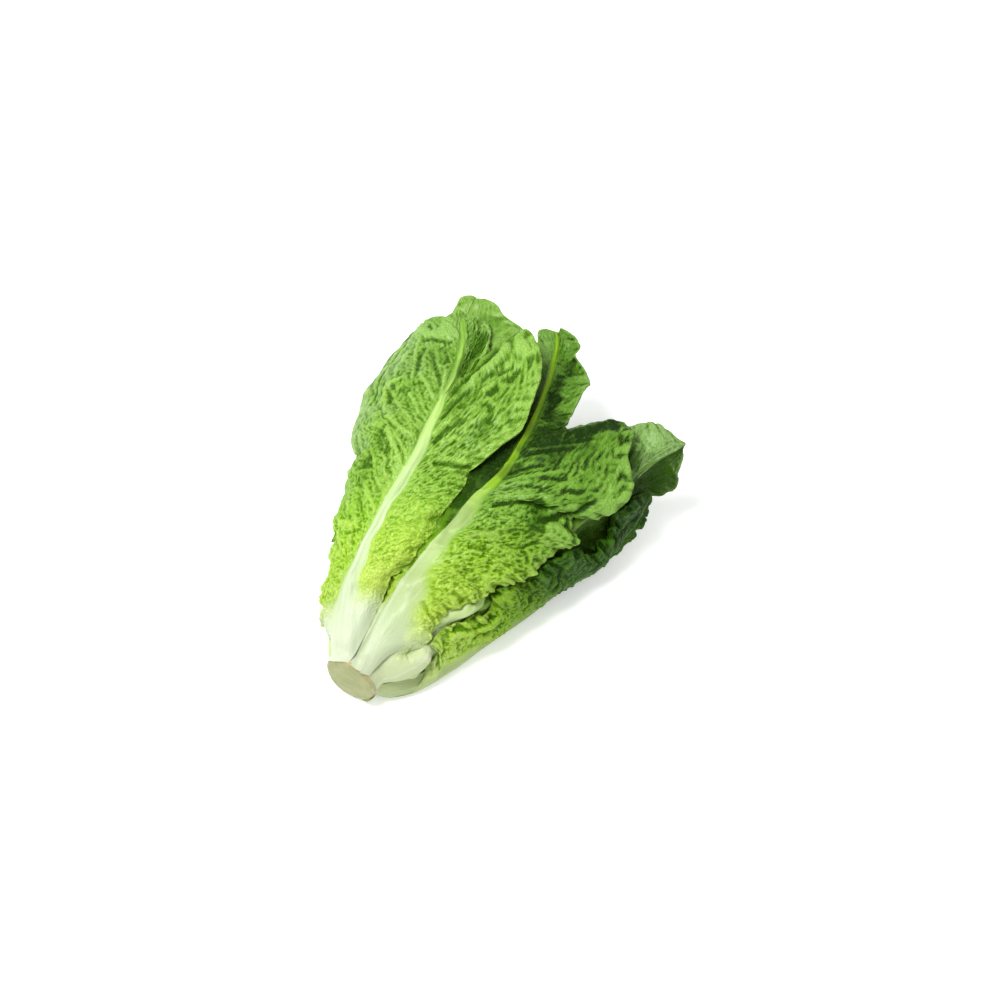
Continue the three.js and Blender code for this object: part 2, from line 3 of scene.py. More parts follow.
import bpy
import numpy as np
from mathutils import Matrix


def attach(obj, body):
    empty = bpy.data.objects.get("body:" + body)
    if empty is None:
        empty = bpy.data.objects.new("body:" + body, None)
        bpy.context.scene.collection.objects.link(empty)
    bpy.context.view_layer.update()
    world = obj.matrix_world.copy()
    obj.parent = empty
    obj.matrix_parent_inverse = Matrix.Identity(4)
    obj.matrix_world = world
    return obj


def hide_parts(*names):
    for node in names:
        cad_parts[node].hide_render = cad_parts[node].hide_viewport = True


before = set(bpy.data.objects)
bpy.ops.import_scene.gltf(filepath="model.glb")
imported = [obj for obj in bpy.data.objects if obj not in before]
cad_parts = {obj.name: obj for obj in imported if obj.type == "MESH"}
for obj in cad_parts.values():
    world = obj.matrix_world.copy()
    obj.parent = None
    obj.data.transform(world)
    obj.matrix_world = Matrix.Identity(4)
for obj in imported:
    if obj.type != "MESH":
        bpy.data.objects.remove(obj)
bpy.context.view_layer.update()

print("frame loaded:", len(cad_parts), "nodes")

# Shapes are worked out in millimetres, with y the distance from the cut stem.
mm = 0.001
headMiddle = np.array([-1.03, 141.22, 0])  # goes over the origin
bladeHalf = 0.6  # half of a blade where the leaves are laid
leafGlow = 0.15  # how much light passes into a leaf
leafGap = 0.6    # kept clear between one leaf and the next
lastRow = 0.985  # share of a leaf's length at its last row

# the whole head along its length: distance, half width, half height, height of the middle
headOutline = np.array([
    (0, 19, 19, 22), (20, 31, 24, 25), (40, 42, 28, 28), (70, 55, 35, 35), (100, 68, 42, 42),
    (120, 76, 44, 44), (155, 88, 47, 47), (190, 97, 49, 49), (245, 98, 47, 48), (300, 96, 46, 48)])


# numbers and noise

def smoothCurve(table, u, stations=None):
    # through every point of the table, at its own stations
    values = np.asarray(table, float)
    if stations is None:
        stations = np.linspace(0, 1, len(values))
    stations = np.asarray(stations, float)
    i = np.clip(np.searchsorted(stations, u, side="right") - 1, 0, len(values) - 2)
    t = (u - stations[i]) / (stations[i + 1] - stations[i])
    ends = np.concatenate([[2 * values[0] - values[1]], values, [2 * values[-1] - values[-2]]])
    before, start, end, after = ends[i], ends[i + 1], ends[i + 2], ends[i + 3]
    if values.ndim > 1:
        t = t[..., None]
    leave, arrive = 0.5 * (end - before), 0.5 * (after - start)
    bend = (-3 * start + 3 * end - 2 * leave - arrive) * t * t
    return start + leave * t + bend + (2 * start - 2 * end + leave + arrive) * t ** 3


def valueAlong(values, u):
    if np.isscalar(values):
        return np.full(np.shape(u), float(values))
    return smoothCurve(values, u)


def ease(low, high, value):
    t = np.clip((value - low) / (high - low), 0, 1)
    return t * t * (3 - 2 * t)


def unit(v):
    return v / np.maximum(np.linalg.norm(v, axis=-1, keepdims=True), 1e-9)


def speckle(i, j, seed):
    n = np.sin(i * 127.1 + j * 311.7 + seed * 74.7) * 43758.5453
    return n - np.floor(n)


def softNoise(x, y, seed):
    # 0 to 1, one lump to a unit
    i, j = np.floor(x), np.floor(y)
    s, t = x - i, y - j
    s, t = s * s * (3 - 2 * s), t * t * (3 - 2 * t)
    low = speckle(i, j, seed) * (1 - s) + speckle(i + 1, j, seed) * s
    high = speckle(i, j + 1, seed) * (1 - s) + speckle(i + 1, j + 1, seed) * s
    return low * (1 - t) + high * t


def layeredNoise(x, y, seed):
    return (softNoise(x, y, seed) + 0.5 * softNoise(2.03 * x, 2.03 * y, seed + 9)
            + 0.25 * softNoise(4.1 * x, 4.1 * y, seed + 17)) / 1.75


# the head as a whole

def headAt(y):
    return [np.interp(y, headOutline[:, 0], headOutline[:, k]) for k in (1, 2, 3)]


def outward(p):
    width, height, middle = headAt(p[..., 1])
    away = np.stack([p[..., 0] / width ** 2, 0 * width, (p[..., 2] - middle) / height ** 2], -1)
    return unit(away)


def ringPlace(p):
    # reach as a share of the head's outline, the angle there, and what a millimetre adds
    width, height, middle = headAt(p[..., 1])
    x, z = p[..., 0] / width, (p[..., 2] - middle) / height
    reach = np.maximum(np.hypot(x, z), 1e-6)
    return reach, np.arctan2(z, x), np.hypot(x / width, z / height) / reach


# innermost reach of the leaves laid so far, over distance and angle
ringStep, ringStart, ringCount, angleCount, steepest = 2, -12, 168, 240, 1.2
laid = np.full((ringCount, angleCount), 9.0)


def easedLimits():
    width, height, _ = headAt(ringStart + (np.arange(ringCount) + 1) * ringStep)
    rise = (steepest * ringStep / ((width + height) / 2))[:, None]
    turnRise = steepest * 2 * pi / angleCount
    limits = laid.copy()
    for sweep in range(15):
        a, b = (rise, turnRise) if sweep else (0, 0)
        low = np.minimum(limits, np.minimum(np.roll(limits, 1, 1), np.roll(limits, -1, 1)) + b)
        low[1:] = np.minimum(low[1:], limits[:-1] + (a[1:] if sweep else 0))
        low[:-1] = np.minimum(low[:-1], limits[1:] + (a[:-1] if sweep else 0))
        limits = low
    return limits


def limitAt(limits, y, angle):
    i = np.clip((y - ringStart) / ringStep, 0, ringCount - 1.001)
    j = (angle + pi) / (2 * pi) * angleCount
    ring, turn = np.floor(i).astype(int), np.floor(j).astype(int)
    s, t = i - ring, j - turn
    turn, beside = turn % angleCount, (turn + 1) % angleCount
    near = limits[ring, turn] * (1 - t) + limits[ring, beside] * t
    far = limits[ring + 1, turn] * (1 - t) + limits[ring + 1, beside] * t
    return near * (1 - s) + far * s


def spread(grid, s, t):
    # a grid read between its points, at shares s and t of every cell
    low = grid[:-1, :-1] * (1 - s) + grid[1:, :-1] * s
    high = grid[:-1, 1:] * (1 - s) + grid[1:, 1:] * s
    return low * (1 - t) + high * t


# one leaf

def leafSheet(leaf, u, across):
    # the middle layer: u along the leaf, across from -1 at its left edge to 1
    p = np.zeros(np.shape(u) + (3,))
    for side, turn in (("Left", -1), ("Right", 1)):
        here = across < 0 if turn < 0 else across >= 0
        v, w = np.abs(across[here]), u[here]
        if "angle" in leaf:
            wide = valueAlong(leaf["spread" + side], w)
            tip = np.sqrt(1 - np.clip((w - 0.72) / 0.28, 0, 1) ** 2)
            angle = np.radians(valueAlong(leaf["angle"], w) - turn * wide * v * tip)
            y = valueAlong(leaf["along"], w) + valueAlong([4, 14, 20, 20, 12, 2, 0], w) * v
            reach = valueAlong(leaf["reach"], w)
            width, height, middle = headAt(y)
            q = np.stack([reach * width * np.cos(angle), y, middle + reach * height * np.sin(angle)], -1)
            length = width * np.radians(wide)
        else:
            table = np.array(leaf[side.lower()], float)
            rib = smoothCurve(leaf["rib"], w)
            edge = smoothCurve(table[:, 1:], w, table[:, 0])
            along = unit(edge - rib)
            lift = outward((rib + edge) / 2)
            lift = unit(lift - (lift * along).sum(-1, keepdims=True) * along)
            bulge = 4 * v * (1 - v) * valueAlong(leaf["bulge" + side], w)
            q = rib * (1 - v)[:, None] + edge * v[:, None] + lift * bulge[:, None]
            length = np.linalg.norm(edge - rib, axis=-1)
        phase = leaf["seed"] * 1.7 + (0 if turn < 0 else 0.9)
        fade = np.clip(w * 5, 0, 1) * np.clip((1 - w) * 10, 0, 1) * np.clip(length / 30, 0, 1)
        fold = leaf.get("fold", 1.2) * np.clip(v * 4, 0, 1) * (1 - 0.4 * v)
        fold = fold * np.sin(2 * pi * leaf.get("veins", 9) * w + phase)
        waves = 2 * pi * leaf.get("waves", 7) * w
        wave = np.sin(waves + phase + 1.3 * v) + 0.5 * np.sin(waves * 1.63 + 2 * phase - v)
        ruffle = valueAlong(leaf["ruffle"], w) * v * v * wave
        p[here] = q + outward(q) * ((fold + ruffle) * fade)[:, None]
    return p


def sheetGrid(leaf, rows, columns):
    k = np.linspace(-1, 1, columns)
    u, across = np.meshgrid(np.linspace(0, lastRow, rows), np.sign(k) * np.abs(k) ** 1.25, indexing="ij")
    return u, across


def fromRib(points):
    rib = points[:, points.shape[1] // 2][:, None]
    return np.linalg.norm(points - rib, axis=-1)


def layLeaf(leaf, rows, columns):
    # bends the sheet clear of the leaves laid round it
    u, across = sheetGrid(leaf, rows, columns)
    raw = leafSheet(leaf, u, across)
    limits = easedLimits()
    nearRib = np.maximum(1 - (fromRib(raw) / valueAlong(leaf["ribHalf"], u)) ** 2, 0)
    depth = bladeHalf + valueAlong(leaf["ribHigh"], u) * nearRib
    points = raw.copy()
    shares = np.linspace(0, 1, 4)
    for sweep in range(5):
        cuts = np.zeros((rows, columns))
        for s in shares:
            for t in shares:
                p = spread(points, s, t)
                reach, angle, step = ringPlace(p)
                room = limitAt(limits, p[..., 1], angle) - (leafGap + spread(depth, s, t)) * step
                excess = np.maximum(reach - np.maximum(room, 0.05), 0)
                for a, b, share in ((0, 0, (1 - s) * (1 - t)), (1, 0, s * (1 - t)),
                                    (0, 1, (1 - s) * t), (1, 1, s * t)):
                    if share > 0.2:
                        part = cuts[a:rows - 1 + a, b:columns - 1 + b]
                        np.maximum(part, excess, out=part)
        reach = ringPlace(points)[0]
        shrink = np.maximum(reach - cuts, 0.03) / reach
        middle = headAt(points[..., 1])[2]
        points[..., 0] *= shrink
        points[..., 2] = np.maximum(middle + (points[..., 2] - middle) * shrink, depth)
    for s in np.linspace(0, 1, 5):
        for t in np.linspace(0, 1, 5):
            p = spread(points, s, t)
            reach, angle, step = ringPlace(p)
            ring = np.clip(np.round((p[..., 1] - ringStart) / ringStep), 0, ringCount - 1).astype(int)
            turn = np.round((angle + pi) / (2 * pi) * angleCount).astype(int) % angleCount
            np.minimum.at(laid, (ring, turn), reach - bladeHalf * step)
    return points - raw, limits


def markLaid(points, facing, depth):
    # the finished inner face narrows the room left for the next leaf
    reach, angle, step = ringPlace(points - facing * depth[..., None])
    ring = np.clip(np.round((points[..., 1] - ringStart) / ringStep), 0, ringCount - 1).astype(int)
    turn = np.round((angle + pi) / (2 * pi) * angleCount).astype(int) % angleCount
    np.minimum.at(laid, (ring, turn), reach)


def resample(grid, rows, columns):
    for axis, count in ((0, rows), (1, columns)):
        values = np.moveaxis(grid, axis, 0)
        flat = smoothCurve(values.reshape(len(values), -1), np.linspace(0, 1, count))
        values = flat.reshape((count,) + values.shape[1:])
        grid = np.moveaxis(values, 0, axis)
    return grid


def facings(points, sweeps):
    along = np.gradient(points, axis=0)
    beside = np.gradient(points, axis=1)
    facing = unit(np.cross(beside, along))
    for sweep in range(sweeps):
        padded = np.pad(facing, ((1, 1), (1, 1), (0, 0)), mode="edge")
        around = padded[:-2, 1:-1] + padded[2:, 1:-1] + padded[1:-1, :-2] + padded[1:-1, 2:]
        facing = unit(2 * facing + around)
    return facing


# finishes

def paint(red, green, blue):
    # a colour as seen on screen, as the renderer wants it
    def flat(value):
        value = value / 255
        return value / 12.92 if value <= 0.04045 else ((value + 0.055) / 1.055) ** 2.4
    return (flat(red), flat(green), flat(blue), 1)


def addNode(tree, kind, inputs=None, **settings):
    node = tree.nodes.new(kind)
    for name, value in settings.items():
        setattr(node, name, value)
    for name, value in (inputs or {}).items():
        socket = node.inputs[name]
        if isinstance(value, bpy.types.NodeSocket):
            tree.links.new(value, socket)
        else:
            socket.default_value = value
    return node


def mathOf(tree, operation, a, b=0.0, clampIt=False):
    return addNode(tree, "ShaderNodeMath", {0: a, 1: b}, operation=operation, use_clamp=clampIt).outputs[0]


def blend(tree, share, a, b, kind="MIX"):
    node = tree.nodes.new("ShaderNodeMix")
    node.data_type, node.blend_type, node.clamp_factor = "RGBA", kind, True
    for index, value in ((0, share), (6, a), (7, b)):
        if isinstance(value, bpy.types.NodeSocket):
            tree.links.new(value, node.inputs[index])
        else:
            node.inputs[index].default_value = value
    return node.outputs[2]


def between(tree, value, low, high, toLow=0.0, toHigh=1.0):
    return addNode(tree, "ShaderNodeMapRange", {"Value": value, "From Min": low, "From Max": high,
                                                "To Min": toLow, "To Max": toHigh},
                   interpolation_type="SMOOTHSTEP").outputs["Result"]


def ramp(tree, value, stops):
    node = addNode(tree, "ShaderNodeValToRGB", {"Fac": value})
    points = node.color_ramp.elements
    while len(points) < len(stops):
        points.new(0.5)
    for point, (place, colour) in zip(points, stops):
        point.position = place
        tone = paint(0.93 * colour[0], 0.95 * colour[1], max(0.88 * colour[2] - 16, 0))
        point.color = [0.64 * value for value in tone[:3]] + [1]
    return node.outputs["Color"]


def makeSkinGroup():
    # colour, roughness and height of leaf tissue from its masks; the colour carries painted shade and painted
    # highlights
    tree = bpy.data.node_groups.new("leafTissue", "ShaderNodeTree")
    for name, kind in (("Place", "Vector"), ("Leaf Map", "Vector"), ("Blade", "Color"), ("Rib Tone", "Color"),
                       ("Vein Tone", "Color"), ("Deep Tone", "Color"), ("Pale Tone", "Color"),
                       ("Rib", "Float"), ("Keel", "Float"), ("Vein", "Float"), ("Net", "Float"),
                       ("Hollow", "Float"), ("Cavity", "Float"), ("Edge", "Float"), ("Shade", "Float")):
        tree.interface.new_socket(name, in_out="INPUT", socket_type="NodeSocket" + kind)
    for name, kind in (("Colour", "Color"), ("Roughness", "Float"), ("Sheen", "Float"), ("Height", "Float")):
        tree.interface.new_socket(name, in_out="OUTPUT", socket_type="NodeSocket" + kind)
    given = tree.nodes.new("NodeGroupInput").outputs
    result = tree.nodes.new("NodeGroupOutput").inputs
    offRib = mathOf(tree, "SUBTRACT", 1.0, given["Rib"], True)

    mottle = addNode(tree, "ShaderNodeTexNoise", {"Vector": given["Place"], "Scale": 240.0, "Detail": 4.0,
                                                  "Roughness": 0.62}).outputs["Fac"]
    speck = addNode(tree, "ShaderNodeTexNoise", {"Vector": given["Place"], "Scale": 700.0, "Detail": 3.0,
                                                 "Roughness": 0.6}).outputs["Fac"]
    finest = addNode(tree, "ShaderNodeTexVoronoi", {"Vector": given["Place"], "Scale": 420.0},
                     feature="DISTANCE_TO_EDGE").outputs["Distance"]
    network = between(tree, finest, 0.0, 0.16, 1.0, 0.0)
    pebbles = addNode(tree, "ShaderNodeTexNoise", {"Vector": given["Place"], "Scale": 300.0, "Detail": 3.0,
                                                   "Roughness": 0.55}).outputs["Fac"]

    # hollows, creases and shaded parts are deep green as painted shade, ridges and lit parts pale as painted
    # highlight, turned edges pale
    # calm thins the vein lines and painted highlights where the painted shade is deep
    calm = between(tree, given["Shade"], -0.9, 0.0, 0.15, 1.0)
    # relief: the cavity mask as painted shade in creases and painted highlight on ridges
    relief = mathOf(tree, "MULTIPLY", given["Cavity"], between(tree, given["Shade"], -0.8, 0.0, 0.35, 1.0))
    darker = mathOf(tree, "MULTIPLY", given["Hollow"], 0.05)
    darker = mathOf(tree, "ADD", darker, between(tree, mottle, 0.48, 0.75, 0.0, 0.35))
    darker = mathOf(tree, "SUBTRACT", darker, mathOf(tree, "MULTIPLY", relief, 1.05))
    # negative shade is painted shade toward the deep tone, positive shade is painted light
    darker = mathOf(tree, "SUBTRACT", darker, given["Shade"])
    darker = mathOf(tree, "MULTIPLY", darker, offRib, True)
    colour = blend(tree, darker, given["Blade"], given["Deep Tone"])
    # paler: painted highlight on ridges and where shade is positive, plus random tone
    paler = mathOf(tree, "MULTIPLY", given["Cavity"], 0.65)
    paler = mathOf(tree, "ADD", paler, given["Shade"])
    paler = mathOf(tree, "ADD", paler, between(tree, mottle, 0.5, 0.28, 0.0, 0.25))
    paler = mathOf(tree, "MULTIPLY", paler, calm, True)
    colour = blend(tree, paler, colour, given["Pale Tone"])
    lines = mathOf(tree, "MULTIPLY", given["Net"], 0.22)
    lines = mathOf(tree, "ADD", lines, mathOf(tree, "MULTIPLY", network, 0.22))
    lines = mathOf(tree, "ADD", lines, mathOf(tree, "MULTIPLY", given["Edge"], 0.55))
    lines = mathOf(tree, "MULTIPLY", lines, calm, True)
    colour = blend(tree, lines, colour, given["Pale Tone"])
    veinShare = mathOf(tree, "MULTIPLY", mathOf(tree, "MULTIPLY", given["Vein"], 1.0), calm)
    colour = blend(tree, veinShare, colour, given["Vein Tone"])

    stretched = addNode(tree, "ShaderNodeMapping", {"Vector": given["Leaf Map"], "Scale": (90.0, 5.0, 1.0)})
    streak = addNode(tree, "ShaderNodeTexNoise", {"Vector": stretched.outputs["Vector"], "Scale": 1.0,
                                                  "Detail": 3.0}).outputs["Fac"]
    ribTone = blend(tree, between(tree, streak, 0.5, 0.8, 0.0, 0.3), given["Rib Tone"], given["Blade"])
    # painted highlight: a brighter line along the crest of the rib (keel)
    ribTone = blend(tree, mathOf(tree, "MULTIPLY", given["Keel"], 0.45), ribTone, (0.55, 0.6, 0.45, 1))
    # painted shade on the rib: negative shade darkens it toward the deep tone
    ribTone = blend(tree, mathOf(tree, "MULTIPLY", given["Shade"], -0.8, True), ribTone, given["Deep Tone"])
    colour = blend(tree, given["Rib"], colour, ribTone)
    tree.links.new(colour, result["Colour"])

    sheen = mathOf(tree, "SUBTRACT", 1.0, darker, True)
    sheen = mathOf(tree, "MULTIPLY", sheen, between(tree, mottle, 0.35, 0.65, 1.0, 0.5))
    tree.links.new(mathOf(tree, "MULTIPLY", sheen, 0.34), result["Sheen"])
    rough = between(tree, speck, 0.25, 0.75, 0.4, 0.55)
    ribGloss = mathOf(tree, "MULTIPLY", given["Rib"], -0.04)
    tree.links.new(mathOf(tree, "ADD", rough, ribGloss), result["Roughness"])
    height = mathOf(tree, "MULTIPLY", network, 0.5)
    height = mathOf(tree, "ADD", height, mathOf(tree, "MULTIPLY", speck, 0.6))
    height = mathOf(tree, "ADD", height, mathOf(tree, "MULTIPLY", pebbles, 3.0))
    height = mathOf(tree, "MULTIPLY", height, offRib)
    ribStreak = mathOf(tree, "MULTIPLY", mathOf(tree, "MULTIPLY", streak, 0.8), given["Rib"])
    height = mathOf(tree, "ADD", height, ribStreak)
    tree.links.new(height, result["Height"])
    return tree


tissue = makeSkinGroup()


def leafSkin(leaf):
    skin = bpy.data.materials.new(leaf["name"] + "_skin")
    skin.use_nodes = True
    tree = skin.node_tree
    shader = tree.nodes["Principled BSDF"]
    place = tree.nodes.new("ShaderNodeTexCoord").outputs
    alongLeaf = addNode(tree, "ShaderNodeSeparateXYZ", {0: place["UV"]}).outputs["Y"]
    node = tree.nodes.new("ShaderNodeGroup")
    node.node_tree = tissue
    given = {"Place": place["Object"], "Leaf Map": place["UV"]}
    # Deep Tone is the colour that painted shade darkens toward; Pale Tone is the colour of painted
    # highlights, pale veins and the pale rim
    for name, tones in (("Blade", "bladeTones"), ("Rib Tone", "ribTones"), ("Vein Tone", "veinTones"),
                        ("Deep Tone", "deepTones"), ("Pale Tone", "paleTones")):
        given[name] = ramp(tree, alongLeaf, leaf[tones])
    for name in ("Rib", "Keel", "Vein", "Net", "Hollow", "Cavity", "Edge", "Shade"):
        given[name] = addNode(tree, "ShaderNodeAttribute", attribute_name=name.lower()).outputs["Fac"]
    for name, value in given.items():
        tree.links.new(value, node.inputs[name])
    bump = addNode(tree, "ShaderNodeBump", {
        "Height": node.outputs["Height"], "Strength": 0.9, "Distance": 0.0007})
    tree.links.new(node.outputs["Colour"], shader.inputs["Base Color"])
    tree.links.new(node.outputs["Roughness"], shader.inputs["Roughness"])
    sheen = mathOf(tree, "MULTIPLY", node.outputs["Sheen"], leaf.get("sheen", 1.0))
    tree.links.new(sheen, shader.inputs["Coat Weight"])
    tree.links.new(bump.outputs["Normal"], shader.inputs["Normal"])
    shader.inputs["IOR"].default_value = 1.4
    shader.inputs["Specular IOR Level"].default_value = 0.12
    shader.inputs["Subsurface Weight"].default_value = leafGlow
    shader.inputs["Subsurface Radius"].default_value = (0.6, 1.0, 0.15)
    shader.inputs["Subsurface Scale"].default_value = 0.0015
    shader.inputs["Coat Roughness"].default_value = 0.36
    return skin
def cellBlisters(points, size, seed):
    # rounded cells in space: 0 on the veins between them, 1 in their middles
    p = points / size
    base = np.floor(p)
    near = np.full(p.shape[:-1], 9.0)
    far = near.copy()
    for a in (-1, 0, 1):
        for b in (-1, 0, 1):
            for c in (-1, 0, 1):
                i, j, k = base[..., 0] + a, base[..., 1] + b, base[..., 2] + c
                row = i + 57 * k
                dx = i + 0.1 + 0.8 * speckle(row, j, seed) - p[..., 0]
                dy = j + 0.1 + 0.8 * speckle(row, j, seed + 31) - p[..., 1]
                dz = k + 0.1 + 0.8 * speckle(row, j, seed + 67) - p[..., 2]
                away = dx * dx + dy * dy + dz * dz
                far = np.minimum(far, np.maximum(near, away))
                near = np.minimum(near, away)
    return np.clip((np.sqrt(far) - np.sqrt(near)) * 1.6, 0, 1)


frillWave = 12  # length of one frill along a margin
usual = {"ribShare": 1, "netShare": 1, "frill": 1.5, "teeth": 1.2}


def sideValues(leaf, name, u, across):
    # a profile for each side of the rib, such as blisterLeft and blisterRight
    left = valueAlong(leaf.get(name + "Left", leaf.get(name, usual.get(name, 0))), u)
    right = valueAlong(leaf.get(name + "Right", leaf.get(name, usual.get(name, 0))), u)
    return np.where(across < 0, left, right)


def blur(grid, rows, columns):
    # a running mean, rows up and down and columns to either side
    for axis, reach in ((0, rows), (1, columns)):
        values = np.moveaxis(grid, axis, 0)
        ends = [(reach + 1, reach)] + [(0, 0)] * (grid.ndim - 1)
        total = np.cumsum(np.pad(values, ends, mode="edge"), axis=0)
        grid = np.moveaxis((total[2 * reach + 1:] - total[:-2 * reach - 1]) / (2 * reach + 1), 0, axis)
    return grid


def strokeOn(points, path):
    # distance in millimetres from a line drawn over the leaf, and how far along it
    rows, columns = points.shape[:2]
    nodes = smoothCurve(np.array(path, float), np.linspace(0, 1, 6 * len(path) - 5))
    k = np.sign(nodes[:, 1]) * np.abs(nodes[:, 1]) ** 0.8
    i = np.clip(nodes[:, 0] / lastRow * (rows - 1), 0, rows - 1.001)
    j = np.clip((k + 1) / 2 * (columns - 1), 0, columns - 1.001)
    row, column = i.astype(int), j.astype(int)
    s, t = (i - row)[:, None], (j - column)[:, None]
    low = points[row, column] * (1 - s) + points[row + 1, column] * s
    high = points[row, column + 1] * (1 - s) + points[row + 1, column + 1] * s
    line = low * (1 - t) + high * t
    nearest = np.full(points.shape[:2], 1e9)
    place = np.zeros(points.shape[:2])
    for n in range(len(line) - 1):
        side = line[n + 1] - line[n]
        share = np.clip(((points - line[n]) @ side) / max(side @ side, 1e-6), 0, 1)
        away = np.linalg.norm(points - line[n] - share[..., None] * side, axis=-1)
        closer = away < nearest
        nearest = np.where(closer, away, nearest)
        place = np.where(closer, (n + share) / (len(line) - 1), place)
    return nearest, place


def joinStem(points, rim, start):
    # the leaf bases close round the cut stem
    near = ease(start + 8.6, start, points[..., 1])
    x, z = points[..., 0], points[..., 2] - stemCut["height"]
    radius = np.maximum(np.hypot(x, z), 1e-6)
    shrink = 1 + near * (rim / radius - 1)
    y = points[..., 1] - (start - 1) * ease(start + 4.6, start, points[..., 1])
    return np.stack([x * shrink, y, stemCut["height"] + z * shrink], -1)


def growLeaf(leaf):
    rows, columns = leaf["rows"], leaf["columns"]
    layRows, layColumns = max(leaf["rows"] // 4, 28), max(leaf["columns"] // 8 * 2 + 1, 11)
    shift, limits = layLeaf(leaf, layRows, layColumns)
    u, across = sheetGrid(leaf, rows, columns)
    points = leafSheet(leaf, u, across) + resample(shift, rows, columns)
    nearRib = ease(1.3, 0.4, fromRib(points) / valueAlong(leaf["ribHalf"], u))[..., None]
    points = points * (1 - nearRib) + blur(points, 1, max(columns // 26, 1)) * nearRib
    facing = facings(points, 10)
    reach, angle, step = ringPlace(points)
    room = (limitAt(limits, points[..., 1], angle) - reach) / step

    v = np.abs(across)
    seed = leaf["seed"]
    away = np.abs(np.where(across < 0, -1, 1) * fromRib(points) - valueAlong(leaf.get("ribMove", 0), u))
    ribWide = valueAlong(leaf["ribHalf"], u) * sideValues(leaf, "ribShare", u, across)
    ribHigh = valueAlong(leaf["ribHigh"], u)
    flank = np.clip(away / ribWide, 0, 1)
    onRib = 0.75 * (1 - flank ** 2) ** 1.3 + 0.25 * (1 - flank) ** 2
    offRib = ease(0.75, 1.5, away / ribWide)
    middle = columns // 2
    steps = np.linalg.norm(np.diff(points, axis=0), axis=-1)
    lengths = np.concatenate([np.zeros((1, columns)), np.cumsum(steps, axis=0)])
    alongRib = np.repeat(lengths[:, middle:middle + 1], columns, 1)
    alongEdge = np.where(across < 0, lengths[:, :1], lengths[:, -1:])
    margin = np.where(across[..., None] < 0, points[:, :1], points[:, -1:])
    toMargin = np.linalg.norm(points - margin, axis=-1)
    baseFade = ease(0.03, 0.15, u)
    tipFade = ease(0.985, 0.93, u)

    # side veins leave the rib at a sharp angle and thin towards the edge
    wander = layeredNoise(alongRib / 26, away / 20, seed + 3) - 0.5
    turns = leaf["sideVeins"] * (u - leaf["sweep"] * v ** 0.9)
    turns = turns + 1.5 * wander + seed * 0.37 + (across < 0) * 0.43
    spacing = np.gradient(lengths, axis=0) / np.maximum(np.abs(np.gradient(turns, axis=0)), 1e-4)
    slant = leaf["sweep"] * lengths[-1:, middle:middle + 1] / 60
    fromVein = np.abs(turns - np.round(turns)) * np.minimum(spacing, 30) / np.sqrt(1 + slant ** 2)
    strong = 0.15 + 0.85 * speckle(np.round(turns), np.sign(across), seed + 7) ** 1.5
    veinWide = 0.45 + 0.6 * (1 - v) ** 2
    netShare = sideValues(leaf, "netShare", u, across)
    vein = np.exp(-(fromVein / veinWide) ** 2) * (1 - 0.6 * v) * strong * offRib * baseFade * netShare

    # long folds follow the side veins, rounded blisters sit between the finer ones
    fold = layeredNoise(turns * 1.25, v * 2.2 + wander, seed + 12) - 0.5
    warp = 6 * np.stack([layeredNoise(alongRib / 10, away / 10, seed + s) - 0.5 for s in (5, 6, 7)], -1)
    cellSize = leaf.get("blisterSize", 6.5)
    cells = cellBlisters(points + warp, cellSize, seed)
    fine = cellBlisters(points + warp, cellSize * 0.5, seed + 40)
    pillow = ease(0, 0.9, cells)
    patchy = 0.35 + 1.3 * layeredNoise(alongRib / 28 + 3, away / 22, seed + 33) ** 1.5
    blister = sideValues(leaf, "blister", u, across) * offRib
    lump = layeredNoise(points[..., 0] / 13 + points[..., 2] / 17, points[..., 1] / 14, seed + 21) - 0.45

    # crinkles break up into short folds in every direction
    crinkle = sideValues(leaf, "crinkle", u, across) * ease(0.85, 1.7, away / ribWide)
    bend = 1.9 * layeredNoise(alongRib / 8, away / 8, seed + 53)
    slide = alongRib - 0.5 * away
    crease = 1 - np.abs(2 * softNoise(slide / 5 + bend, away / 6.5 - bend, seed + 50) - 1)
    small = 1 - np.abs(2 * softNoise(slide / 2.4 - bend, away / 2.9 + 2 * bend, seed + 51) - 1)
    folds = 0.6 * crease ** 1.4 + 0.55 * small ** 1.3 - 0.25 * (1 - ease(0, 0.6, fine))

    frill = sideValues(leaf, "frill", u, across) * ease(15, 0, toMargin) ** 1.3 * ease(0.25, 0.6, v)
    wave = alongEdge / frillWave + 0.9 * softNoise(alongEdge / 15, v * 2, seed + 60)
    frill = frill * (np.sin(2 * pi * wave) + 0.45 * np.sin(2 * pi * wave * 2.3 + seed)) * baseFade * tipFade

    puckers = 0.6 * (1 - pillow) + 0.25 * (1 - ease(0, 0.8, fine))
    detail = leaf.get("veinHigh", 0.7) * vein + blister * patchy * puckers
    detail += 1.1 * blister * lump + sideValues(leaf, "folds", u, across) * fold * offRib
    detail += 1.7 * crinkle * (folds - 0.35) + frill
    # painted light and shade: shade is a random tone drift plus the side profiles and the strokes, painted
    # shade below zero and painted light above
    shade = 0.7 * (layeredNoise(alongRib / 38, away / 26, seed + 90) - 0.5)
    shade = shade + sideValues(leaf, "tint", u, across)
    # each stroke raises the relief by its height and paints shade or light by its last number
    for path, wide, high, shadingAmount in leaf.get("strokes", []):
        nearest, place = strokeOn(points, path)
        drawn = np.exp(-(nearest / wide) ** 2) * ease(0, 0.12, place) * ease(1, 0.88, place)
        detail = detail + high * drawn
        shade = shade + shadingAmount * drawn
    detail = detail * baseFade * ease(1, 0.97, u)
    grain = 0.2 * (layeredNoise(away / 1.6 + across * 3, alongRib / 60, seed + 70) - 0.5)
    relief = onRib * ribHigh * (1 + grain)
    low = detail - blur(detail, 2, 2)
    wider = detail - blur(detail, 8, 8)

